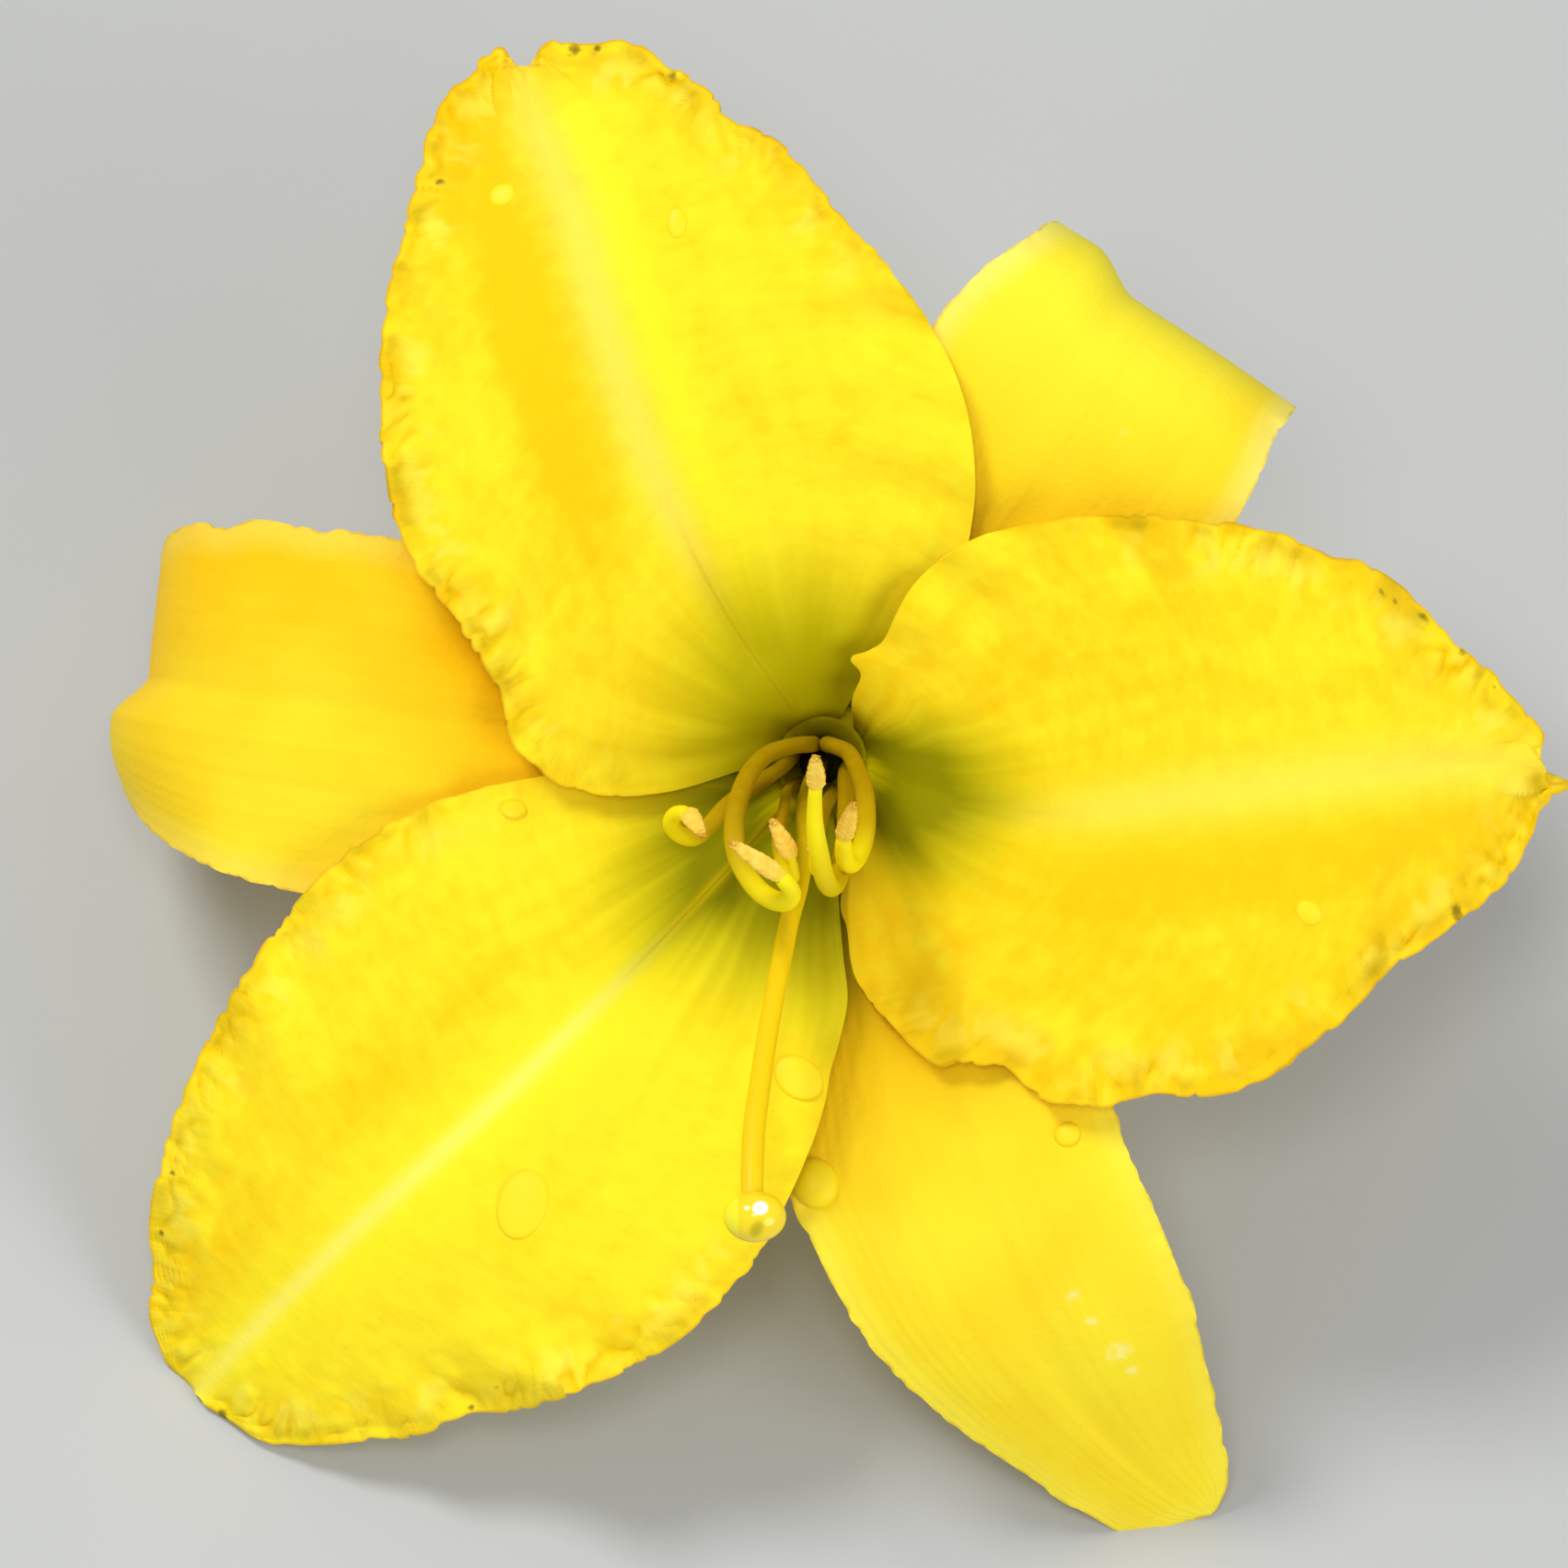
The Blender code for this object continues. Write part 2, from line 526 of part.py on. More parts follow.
petal_yellow = material("petal_yellow", (1.0, 0.78, 0.01), 0.5)
sepal_yellow = material("sepal_yellow", (1.0, 0.68, 0.02), 0.5)
tube_green = material("tube_green", (0.55, 0.56, 0.05), 0.55)
filament_gold = material("filament_gold", (0.8, 0.6, 0.01), 0.45)
anther_tan = material("anther_tan", (0.83, 0.5, 0.13), 0.8)
pistil_gold = material("pistil_gold", (0.85, 0.62, 0.02), 0.4)

bloom = bpy.data.objects.new("bloom", None)
bpy.context.scene.collection.objects.link(bloom)

petal_kind = (petal_lift, PETAL_ROWS, PETAL_COLUMNS, petal_yellow)
sepal_kind = (sepal_lift, SEPAL_ROWS, SEPAL_COLUMNS, sepal_yellow)
blades = {}
for blade_name, blade_shape in TEPALS.items():
    kind = petal_kind if blade_name.startswith("petal") else sepal_kind
    blades[blade_name] = tepal(blade_name, blade_shape, *kind, bloom)
throat = tube("perianth_tube", tube_green, bloom)
for number, one in enumerate(STAMENS, 1):
    filament(f"filament_{number}", one, filament_gold, bloom)
    anther(f"anther_{number}", one, anther_tan, bloom)
stem("pistil", smooth_line(PISTIL, PISTIL_POINTS), 2, pistil_gold, bloom)

three_feet = (throat, blades["petal_lower_left"], blades["sepal_lower_right"])
turn, up, plane = resting_turn(three_feet)
plane += REST_DIP * MM
for foot in three_feet:
    flatten_foot(foot, up, plane)

bpy.context.view_layer.update()
graph = bpy.context.evaluated_depsgraph_get()
corners = []
for thing in bloom.children:
    mesh = thing.evaluated_get(graph).to_mesh()
    corners += [turn @ vert.co for vert in mesh.vertices]
low = [min(corner[axis] for corner in corners) for axis in range(3)]
high = [max(corner[axis] for corner in corners) for axis in range(3)]
middle = Vector(((low[0] + high[0]) / 2.0, (low[1] + high[1]) / 2.0, plane))
bloom.matrix_world = Matrix.Translation(-middle) @ turn
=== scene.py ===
import math
import random

import bmesh
import bpy
import numpy as np
from mathutils import Matrix, Vector
from numpy.linalg import norm


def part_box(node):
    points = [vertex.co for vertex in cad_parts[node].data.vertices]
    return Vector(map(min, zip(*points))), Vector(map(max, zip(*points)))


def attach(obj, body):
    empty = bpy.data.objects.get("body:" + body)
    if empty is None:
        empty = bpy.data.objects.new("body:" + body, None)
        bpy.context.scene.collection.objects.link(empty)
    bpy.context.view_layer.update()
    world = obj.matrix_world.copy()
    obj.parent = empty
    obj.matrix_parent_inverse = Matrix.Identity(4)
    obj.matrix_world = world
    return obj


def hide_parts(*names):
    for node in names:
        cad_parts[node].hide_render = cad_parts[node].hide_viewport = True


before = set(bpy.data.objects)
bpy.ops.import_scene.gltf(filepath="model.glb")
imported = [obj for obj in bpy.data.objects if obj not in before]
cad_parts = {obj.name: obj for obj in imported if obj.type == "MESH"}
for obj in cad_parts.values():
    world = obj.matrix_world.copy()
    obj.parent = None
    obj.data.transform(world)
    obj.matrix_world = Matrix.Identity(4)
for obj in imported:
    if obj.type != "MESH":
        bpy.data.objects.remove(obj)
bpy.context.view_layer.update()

# The bloom's own frame, in millimetres: its origin is the mouth of the throat, and +Z runs out
# along the flower's axis. The bloom leans on its stalk and two of its tips, so that frame is turned
# and carried to where the tube's rim lies in the solid model.
MM = 0.001
UP_IN_BLOOM = Vector((0.1713, 0.4482, 0.8774)).normalized()
TUBE_RIM_RADIUS = 7.0
TUBE_RIM_HEIGHT = 0.2
TUBE_SIDES = 20

back = (Vector((0.0, 1.0, 0.0)) - UP_IN_BLOOM * UP_IN_BLOOM.y).normalized()
bloom_turn = Matrix((back.cross(UP_IN_BLOOM), back, UP_IN_BLOOM))
rim_points = [
    bloom_turn @ Vector((
        TUBE_RIM_RADIUS * math.cos(2.0 * math.pi * side / TUBE_SIDES),
        TUBE_RIM_RADIUS * math.sin(2.0 * math.pi * side / TUBE_SIDES),
        TUBE_RIM_HEIGHT,
    )) * MM
    for side in range(TUBE_SIDES)
]
tube_low, tube_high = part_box("perianth_tube")
throat_place = Vector((
    tube_low.x - min(point.x for point in rim_points),
    tube_low.y - min(point.y for point in rim_points),
    tube_high.z - max(point.z for point in rim_points),
))
to_world = Matrix.Translation(throat_place) @ bloom_turn.to_4x4() @ Matrix.Scale(MM, 4)


# The petals. Three broad blades of soft living tissue, about half a millimetre thick and thicker
# along the rib, grow from the rim of the tube. Each lies over one neighbour and under the other,
# and its margin is crimped like a pie crust.
BOWL = (
    (4.6, 0.5), (4.8, 3.0), (5.5, 5.6), (6.8, 8.2), (9.0, 10.9), (13.0, 14.0), (20.0, 17.8), (30.0, 21.6),
    (42.0, 24.2), (54.0, 24.6), (66.0, 21.8), (78.0, 16.2), (92.0, 7.0),
)
UPRIGHT_RUN = (18.0, 34.0)
BASE_HALF_ANGLE = 50.0
ANGLE_SPREAD = 24.0
PETAL_TWIST = 1.15
# Each petal's bearing in degrees, the lines of its rib and of its two margins, after and before the
# rib as the bearings run, in millimetres of the picture, how far its tip falls, where along the two
# margins the crimps begin and are full, and then where and how strongly its colours lie.
PETALS = {
    "petal_upper": {
        "bearing": 118,
        "rib": ((-7.0, 10.7), (-13.9, 22.9), (-19.6, 37.4), (-23.5, 51.0), (-27.6, 61.5), (-28.9, 66.9)),
        "after": (
            (-7.2, -0.4), (-14.3, -2.8), (-23.5, -2.8), (-29.3, 1.2), (-31.2, 7.0), (-35.0, 13.4),
            (-39.8, 20.0), (-42.4, 32.5), (-42.0, 42.5), (-39.4, 54.0), (-37.2, 62.0), (-35.6, 64.7),
            (-34.0, 65.5), (-32.9, 67.4), (-31.2, 68.6), (-30.5, 66.7),
        ),
        "before": (
            (3.6, 7.0), (7.6, 11.4), (12.4, 16.8), (14.4, 23.0), (14.6, 29.0), (13.4, 35.5), (10.3, 42.0),
            (5.5, 48.4), (0.0, 54.6), (-4.2, 59.4), (-9.0, 61.9), (-10.4, 63.8), (-15.5, 67.4),
            (-19.4, 69.4), (-22.8, 68.9), (-26.4, 69.2), (-27.3, 66.8),
        ),
        "tip_drop": 4.0, "phase": 0.3, "crimps": ((0.22, 0.42), (0.54, 0.72)), "green": 0.95,
        "throat_painted_light": 0.75, "yellow_sides": (4.0, 3.0), "lemon": (0.64, 0.72),
        "stripe": (2.4, 0.6, -4.2, 2.4, 0.75), "pale": (1.0, 0.79, 0.11), "gold": (7.2, 4.2, 0.75),
        "crease": 0.25, "browning_and_shade": 1.0,
        "marks": (
            (-30.6, 67.0, 0.45), (-24.0, 68.6, 0.9), (-21.5, 68.6, 0.5), (-14.3, 66.2, 0.8),
            (-36.9, 55.5, 0.6),
        ),
    },
    "petal_right": {
        "bearing": 355,
        "rib": ((9.6, -2.9), (18.8, -4.8), (32.3, -3.8), (45.9, -2.0), (59.6, -0.4), (69.6, -0.6)),
        "after": (
            (3.3, 5.1), (3.4, 7.2), (4.1, 9.0), (2.97, 10.6), (4.6, 11.2), (6.0, 12.0), (7.4, 14.7),
            (8.4, 16.5), (11.3, 19.4), (14.8, 21.5), (19.8, 22.7), (28.0, 23.7), (37.0, 23.0),
            (43.0, 22.2), (48.5, 19.8), (51.4, 19.2), (57.8, 14.8), (61.0, 11.2), (64.8, 8.0),
            (67.4, 4.9), (69.4, 2.4), (68.3, 1.3),
        ),
        "before": (
            (2.4, -7.6), (1.7, -13.2), (2.3, -15.5), (2.7, -18.9), (3.2, -20.6), (6.8, -25.5),
            (11.4, -29.3), (12.8, -28.9), (17.6, -29.5), (19.6, -31.5), (22.8, -32.9), (27.2, -33.1),
            (30.8, -32.1), (37.8, -31.9), (43.0, -30.4), (47.0, -27.0), (50.8, -24.2), (54.0, -20.4),
            (60.2, -16.4), (63.8, -13.2), (66.8, -10.2), (68.7, -6.1), (69.6, -4.0), (72.3, -2.2),
            (69.9, -2.0), (69.6, -1.6),
        ),
        "tip_drop": 4.5, "phase": 2.1, "crimps": ((0.44, 0.62), (0.26, 0.48)), "green": 0.95,
        "throat_painted_light": 0.1, "yellow_sides": (16.0, 12.0), "lemon": (0.52, 0.36),
        "stripe": (2.8, 0.38, 0.5, 4.5, 0.4), "pale": (1.0, 0.82, 0.13), "gold": (-6.5, 4.0, 0.35),
        "crease": 0.0, "browning_and_shade": 0.9,
        "marks": (
            (53.4, 16.2, 0.6), (54.9, 15.4, 0.55), (57.7, 13.9, 0.6), (61.4, 10.5, 0.6), (64.7, 7.2, 0.4),
            (61.0, -14.5, 0.9),
        ),
    },
    "petal_lower_left": {
        "bearing": 232,
        "rib": (
            (-8.8, -10.2), (-17.0, -18.8), (-30.5, -32.0), (-44.0, -44.2), (-53.0, -53.0), (-60.3, -61.0),
        ),
        "after": (
            (1.6, -8.4), (1.65, -13.5), (2.05, -18.9), (2.45, -22.8), (1.65, -26.8), (0.85, -29.5),
            (0.2, -33.0), (-2.6, -40.5), (-6.6, -48.0), (-13.4, -55.0), (-22.0, -59.8), (-29.8, -62.3),
            (-33.5, -62.5), (-39.0, -64.7), (-44.5, -65.3), (-50.0, -65.7), (-54.4, -65.2),
            (-56.5, -63.8), (-59.4, -62.0),
        ),
        "before": (
            (-7.6, -1.2), (-12.4, -0.2), (-20.5, -0.5), (-28.0, -1.6), (-36.0, -3.5), (-44.0, -7.5),
            (-51.0, -14.4), (-57.6, -24.2), (-62.3, -34.5), (-64.3, -41.9), (-64.7, -45.4),
            (-64.3, -49.0), (-64.7, -53.2), (-64.0, -56.0), (-62.9, -58.2), (-60.6, -59.8),
        ),
        "tip_drop": 1.0, "phase": 4.0, "crimps": ((0.46, 0.62), (0.34, 0.54)), "green": 1.25,
        "throat_painted_light": 0.0, "yellow_sides": (0.0, 8.0), "lemon": (0.78, 0.68),
        "stripe": (1.05, 0.8, 0.5, 4.2, 0.7), "pale": (1.0, 0.88, 0.13), "gold": (-8.0, 6.0, 0.15),
        "crease": 0.6, "browning_and_shade": 0.75,
        "marks": (
            (-63.6, -45.4, 0.4), (-62.4, -39.6, 0.35), (-63.0, -51.5, 0.4), (-31.4, -60.0, 0.35),
            (-33.7, -62.0, 0.35), (-57.6, -63.0, 0.7),
        ),
    },
}
# Rows along a petal, columns across it, and how closely the columns gather at its margins.
PETAL_ROWS, PETAL_COLUMNS, PETAL_GATHER = 324, 140, 0.4
PETAL_THICKNESS = (0.75, 0.32)
CLAW_ROWS, CLAW_STEP = 6, 0.5
CURVE_STEPS, BOWL_STEPS = 600, 800
MARGIN_EASE = 9
SMOOTH_ANGLE = 80.0
# Noise on the second side of a rib, and along the second margin, is drawn this far from the first.
SIDE_APART, MARGIN_APART = 60.0, 200.0
CRIMP_WIDTH, CRIMP_HEIGHT, BLISTER_HEIGHT = 1.15, 0.56, 0.4
PLEAT_HEIGHT, CREPE_HEIGHT = 0.18, 0.1
BROAD_WAVE, MARGIN_WAVE = 0.5, 0.4


def run_along(points):
    """How far along a line each of its points lies."""
    return np.concatenate([[0.0], np.cumsum(norm(np.diff(points, axis=0), axis=1))])


def smooth_line(points, count):
    """A smooth curve through the points, as count rows evenly spaced along it."""
    points = np.array(points, float)
    steps = norm(np.diff(points, axis=0), axis=1) ** 0.5
    knots = np.concatenate([[0.0], np.cumsum(steps)])
    slopes = np.gradient(points, knots, axis=0, edge_order=2)
    fine = np.linspace(0.0, knots[-1], CURVE_STEPS)
    span = np.clip(np.searchsorted(knots, fine, "right") - 1, 0, len(knots) - 2)
    width = (knots[span + 1] - knots[span])[:, None]
    t = (fine - knots[span])[:, None] / width
    curve = (
        (2 * t**3 - 3 * t**2 + 1) * points[span]
        + (t**3 - 2 * t**2 + t) * width * slopes[span]
        + (3 * t**2 - 2 * t**3) * points[span + 1]
        + (t**3 - t**2) * width * slopes[span + 1]
    )
    along = run_along(curve)
    want = np.linspace(0.0, along[-1], count)
    return np.stack([np.interp(want, along, column) for column in curve.T], axis=1)


def eased(value, start, end):
    t = np.clip((value - start) / (end - start), 0.0, 1.0)
    return t * t * (3.0 - 2.0 * t)


def bell(value, width):
    return np.exp(-((value / width) ** 2))


bowl_line = smooth_line(BOWL, BOWL_STEPS)
bowl_runs = run_along(bowl_line)
bowl_slope = np.gradient(bowl_line[:, 1], bowl_runs)


def bowl_point(run, angle, lift):
    """The point at a run and an angle on the bowl that all the blades share, lifted off it."""
    radius = np.interp(run, bowl_runs, bowl_line[:, 0])
    height = np.interp(run, bowl_runs, bowl_line[:, 1])
    lean = np.interp(run, bowl_runs, bowl_slope) * (1.0 - eased(run, *UPRIGHT_RUN))
    radius = radius - lift * lean
    height = height + lift * np.sqrt(1.0 - lean**2)
    return np.stack([radius * np.cos(angle), radius * np.sin(angle), height], axis=-1)


def rail(points, bearing, turn, count):
    """A rib or margin, as its run along the bowl and its angle from the blade's bearing."""
    rows = [(0.0, math.radians(turn) * ANGLE_SPREAD)]
    for x, y in points:
        angle = (math.atan2(y, x) - math.radians(bearing) + math.pi) % (2.0 * math.pi) - math.pi
        run = float(np.interp(math.hypot(x, y), bowl_line[:, 0], bowl_runs))
        rows.append((run, angle * ANGLE_SPREAD))
    line = smooth_line(rows, count)
    return line[:, 0], line[:, 1] / ANGLE_SPREAD


def nearest_on(line, points):
    """How far each point is from a line of points, and how far along the line it is nearest."""
    steps = np.diff(line, axis=0)
    lengths = np.maximum(norm(steps, axis=1), 1e-6)
    starts = np.concatenate([[0.0], np.cumsum(lengths)])
    squares = (points**2).sum(axis=1)[:, None] + (line**2).sum(axis=1) - 2.0 * points @ line.T
    best = squares.argmin(axis=1)
    distance, along = np.full(len(points), np.inf), np.zeros(len(points))
    for shift in (-1, 0):
        first = np.clip(best + shift, 0, len(steps) - 1)
        share = ((points - line[first]) * steps[first]).sum(axis=1) / lengths[first] ** 2
        share = np.clip(share, 0.0, 1.0)
        gap = norm(points - line[first] - share[:, None] * steps[first], axis=1)
        along = np.where(gap < distance, starts[first] + share * lengths[first], along)
        distance = np.minimum(gap, distance)
    return distance, along


def from_margin(base, v):
    """Each point's distance from the margin of its own side, and its place along that margin."""
    rim, along = np.zeros(v.shape), np.zeros(v.shape)
    middle = v.shape[1] // 2
    halves = (
        (slice(0, middle), np.concatenate([base[:, 0], base[-1, 1:middle + 1]]), MARGIN_APART),
        (slice(middle, None), np.concatenate([base[:, -1], base[-1, -2:middle - 1:-1]]), 0.0),
    )
    for part, edge, offset in halves:
        points = base[:, part].reshape(-1, 3)
        rim[:, part] = nearest_on(edge, points)[0].reshape(rim[:, part].shape)
        padded = np.pad(edge, ((MARGIN_EASE, MARGIN_EASE), (0, 0)), mode="edge")
        window = np.ones(2 * MARGIN_EASE + 1) / (2 * MARGIN_EASE + 1)
        evened = np.stack([np.convolve(column, window, "valid") for column in padded.T], axis=1)
        along[:, part] = nearest_on(evened, points)[1].reshape(rim[:, part].shape) + offset
    return rim, along


def blade_grid(shape, rows, columns, gather):
    """Each point's (u, v), run and angle, and how far in it lies from the margin and the rib."""
    bearing = shape["bearing"]
    turn = math.radians(bearing)
    u = np.linspace(0.0, 1.0, rows + 1)[:, None] * np.ones((1, columns + 1))
    v = np.linspace(-1.0, 1.0, columns + 1)[None, :] * np.ones((rows + 1, 1))
    v = v * (1.0 + gather * (1.0 - np.abs(v)))
    rib_run, rib_angle = (row[:, None] for row in rail(shape["rib"], bearing, 0.0, rows + 1))
    after = rail(shape["after"], bearing, BASE_HALF_ANGLE, rows + 1)
    before = rail(shape["before"], bearing, -BASE_HALF_ANGLE, rows + 1)
    rim_run, rim_angle = (
        np.where(v > 0, first[:, None], second[:, None]) for first, second in zip(after, before)
    )
    across = np.abs(v)
    run = rib_run + across * (rim_run - rib_run)
    angle = rib_angle + across * (rim_angle - rib_angle) + turn
    middle = bowl_point(rib_run, rib_angle + turn, 0.0)
    half_width = norm(bowl_point(rim_run, rim_angle + turn, 0.0) - middle, axis=-1)
    rim, along_rim = from_margin(bowl_point(run, angle, 0.0), v)
    rib = half_width * across
    return {
        "u": u, "v": v, "run": run, "angle": angle, "half_width": half_width,
        "rim": rim, "rib": rib, "along_rim": along_rim, "side_rib": rib + SIDE_APART * (v > 0),
        "grown": eased(run, 6.0, 14.0),
        "channel": -bell(v, 0.13) * eased(run, 8.0, 22.0) * (1.0 - eased(u, 0.85, 1.0)),
    }


def scalloped(grid, outward):
    """Moves a blade's points across it by outward, in millimetres, most at its margin."""
    share = 1.0 + outward / np.maximum(grid["half_width"], 5.0)
    half = grid["v"].shape[1] // 2
    for key in ("run", "angle"):
        rib = grid[key][:, half:half + 1]
        grid[key] = rib + (grid[key] - rib) * share


def fallen(shape, u):
    """How far a blade has fallen back, more and more towards its tip."""
    return shape["tip_drop"] * eased(u, 0.5, 1.05) ** 1.5


def lumps(seed, first, second, first_size, second_size):
    """Smooth random lumps from -1 to 1, of the given sizes along two directions."""
    field = np.random.default_rng(seed).uniform(-1.0, 1.0, (64, 64))
    places = (first / first_size, second / second_size)
    cells = [np.floor(place).astype(int) for place in places]
    share, other = (eased(place - cell, 0.0, 1.0) for place, cell in zip(places, cells))

    def corner(step, other_step):
        return field[(cells[0] + step) % 64, (cells[1] + other_step) % 64]

    low = corner(0, 0) * (1.0 - share) + corner(1, 0) * share
    high = corner(0, 1) * (1.0 - share) + corner(1, 1) * share
    return low * (1.0 - other) + high * other


def softened(values, axes):
    """A grid's values, each evened out with its two neighbours, along each of the axes in turn."""
    for axis in axes:
        padded = np.pad(values, [(int(side == axis),) * 2 for side in range(values.ndim)], mode="edge")
        low, high = (padded.take(range(start, start + values.shape[axis]), axis=axis) for start in (0, 2))
        values = 0.5 * values + 0.25 * (low + high)
    return values


def ruffle(u, v, phase):
    """The waves of a petal's margin, in millimetres."""
    side = np.where(v < 0.0, 1.7, 0.0) + phase
    turns = 2.0 * math.pi * u
    waves = 0.5 * np.sin(6.3 * turns + side) + 0.55 * np.sin(10.4 * turns + 2.3 * side + 0.8)
    along = eased(u, 0.22, 0.42) * (1.0 + 0.7 * eased(u, 0.45, 0.65))
    return waves * np.abs(v) ** 3 * along * (1.0 - 0.75 * eased(u, 0.80, 0.97))


def petal_surface(shape):
    """A petal's middle surface, with its pleats, crepe and crimps, and what its colours follow."""
    grid = blade_grid(shape, PETAL_ROWS, PETAL_COLUMNS, PETAL_GATHER)
    u, v, run, rim, rib, along = (grid[key] for key in ("u", "v", "run", "rim", "rib", "along_rim"))
    side_rib = grid["side_rib"]
    seed = int(shape["phase"] * 100)
    open_part = eased(u, 0.2, 0.42)
    after, before = (eased(u, *ends) for ends in shape["crimps"])
    crimped = np.where(v > 0, after, before) * eased(rib, 0.4, 3.0)
    drawn = along + 1.1 * lumps(seed, along, rim, 4.0, 4.0)
    puff = np.minimum(1.0, 1.7 * np.abs(lumps(seed + 1, drawn, rim, CRIMP_WIDTH, 3.0)))
    puff = 1.0 - (1.0 - puff) ** 2 + 0.15 * np.abs(lumps(seed + 2, drawn, rim, 0.6, 1.8)) - 0.75
    crinkle = puff * bell(rim - 1.8, 2.3) * crimped
    crinkle *= 0.8 + 0.7 * lumps(seed + 3, along, rim, 7.0, 9.0)
    blister = np.maximum(0.0, lumps(seed + 4, along, rim, 2.1, 1.9)) ** 1.3
    blister *= bell(rim - 4.5, 3.2) * crimped
    fan = (np.abs(v) - 0.22 * u) * 20.0 + SIDE_APART * (v > 0)
    pleat = lumps(seed + 5, fan, run, 1.9, 26.0) * eased(rib, 2.0, 5.0) * eased(run, 10.0, 24.0)
    crepe = 0.5 * lumps(seed + 6, side_rib, run, 2.0, 1.0) + lumps(seed + 7, side_rib, run, 2.8, 1.7)
    crepe = CREPE_HEIGHT * crepe * (0.45 + 0.9 * np.exp(-rim / 8.0))
    broad = lumps(seed + 8, side_rib, run, 13.0, 17.0) * eased(rib, 3.0, 9.0)
    scallop = np.minimum(1.0, 1.8 * np.abs(lumps(seed + 9, along, 0.0 * rim, 1.5, 5.0))) - 0.6
    scallop *= np.exp(-rim / 1.4) * crimped * (1.0 - eased(u, 0.97, 0.995))
    lift = PETAL_TWIST * np.sin(v * math.pi / 2.0) * eased(run, 3.5, 9.5) + 0.8 * grid["channel"]
    lift += 0.5 * (1.0 - v**2) * grid["grown"] + ruffle(u, v, shape["phase"])
    lift += CRIMP_HEIGHT * crinkle + BLISTER_HEIGHT * blister
    lift += PLEAT_HEIGHT * pleat + BROAD_WAVE * broad * open_part
    lift += crepe * open_part * eased(rib, 1.0, 4.0)
    lift += MARGIN_WAVE * lumps(seed + 10, along, rim, 3.0, 9.0) * np.exp(-rim / 2.8) * crimped
    lift += (0.15 * bell(rim, 0.7) - 0.1 * bell(rim - 1.3, 0.5)) * crimped
    scalloped(grid, 0.5 * scallop)
    points = bowl_point(grid["run"], grid["angle"], softened(lift, (0, 1)))
    points[:, :, 2] -= fallen(shape, u)
    grid["relief"] = np.stack([crinkle, crimped, blister], axis=-1)
    return with_claw(points, grid)


def with_claw(points, grid):
    """Carries a blade's foot on down into the rim of the tube."""
    steps = CLAW_STEP * np.arange(CLAW_ROWS, 0, -1)
    foot = np.repeat(points[:1], CLAW_ROWS, axis=0)
    foot[:, :, 2] -= steps[:, None]
    for key, value in grid.items():
        grid[key] = np.concatenate([np.repeat(value[:1], CLAW_ROWS, axis=0), value])
    grid["run"][:CLAW_ROWS] -= steps[:, None]
    return np.concatenate([foot, points]), grid


def cut_flat(bm):
    """Cuts off what would reach below the surface that the bloom rests on, and closes the cut."""
    if min(vert.co.z for vert in bm.verts) >= 0.0:
        return
    bmesh.ops.bisect_plane(
        bm, geom=bm.verts[:] + bm.edges[:] + bm.faces[:], dist=1e-6,
        plane_co=(0.0, 0.0, 0.0), plane_no=(0.0, 0.0, 1.0), clear_inner=True,
    )
    bmesh.ops.holes_fill(bm, edges=[edge for edge in bm.edges if edge.is_boundary], sides=0)
    bmesh.ops.recalc_face_normals(bm, faces=bm.faces[:])


blade_faces = {}


def blade_mesh(name, points, grid, middle, edge):
    """A closed blade: the grid bent to its surface, then drawn out to its thickness."""
    rows, columns = points.shape[0] - 1, points.shape[1] - 1
    out = np.cross(np.gradient(points, axis=1), np.gradient(points, axis=0))
    out /= np.maximum(norm(out, axis=-1, keepdims=True), 1e-9)
    out = softened(out, (0, 0, 0, 1, 1))
    out /= norm(out, axis=-1, keepdims=True)
    blade_faces[name.replace("_skin", "")] = (points, -out)
    thick = edge + (middle - edge) * eased(grid["rim"], 0.0, 9.0)
    thick += 0.2 * bell(grid["rib"], 2.2) * (1.0 - grid["u"])
    under = (points - out * thick[..., None] / 2.0).reshape(-1, 3)
    through = (out * thick[..., None]).reshape(-1, 3)
    marks = {
        "blade_mm": np.stack([grid["rib"] * np.sign(grid["v"]), grid["run"], grid["rim"]], axis=-1),
        "blade_share": np.stack([grid["v"], grid["u"], grid["along_rim"]], axis=-1),
        "blade_relief": grid["relief"],
    }
    bm = bmesh.new()
    layers = [
        (bm.verts.layers.float_vector.new(title), mark.reshape(-1, 3)) for title, mark in marks.items()
    ]
    spot = bm.verts.layers.int.new("spot")
    bmesh.ops.create_grid(bm, x_segments=columns, y_segments=rows, size=1.0)
    for number, vert in enumerate(bm.verts):
        vert.co = under[number]
        vert[spot] = number
        for layer, mark in layers:
            vert[layer] = mark[number]
    grown = bmesh.ops.extrude_face_region(bm, geom=bm.faces[:])
    for vert in (part for part in grown["geom"] if isinstance(part, bmesh.types.BMVert)):
        vert.co += Vector(through[vert[spot]])
    bm.verts.layers.int.remove(bm.verts.layers.int["spot"])
    bmesh.ops.recalc_face_normals(bm, faces=bm.faces[:])
    bmesh.ops.transform(bm, matrix=to_world, verts=bm.verts[:])
    cut_flat(bm)
    return finished(name, bm, SMOOTH_ANGLE)


def spot_on(name, x, y):
    """The point of a blade's upper face over x and y, and the way out of it."""
    points, outward = blade_faces[name]
    far = (points[..., 0] - x) ** 2 + (points[..., 1] - y) ** 2 - 0.01 * points[..., 2]
    nearest = np.argmin(far)
    return [Vector(values.reshape(-1, 3)[nearest]) for values in (points, outward)]


def placed_marks(name, marks):
    return [(to_world @ spot_on(name, x, y)[0], size) for x, y, size in marks]


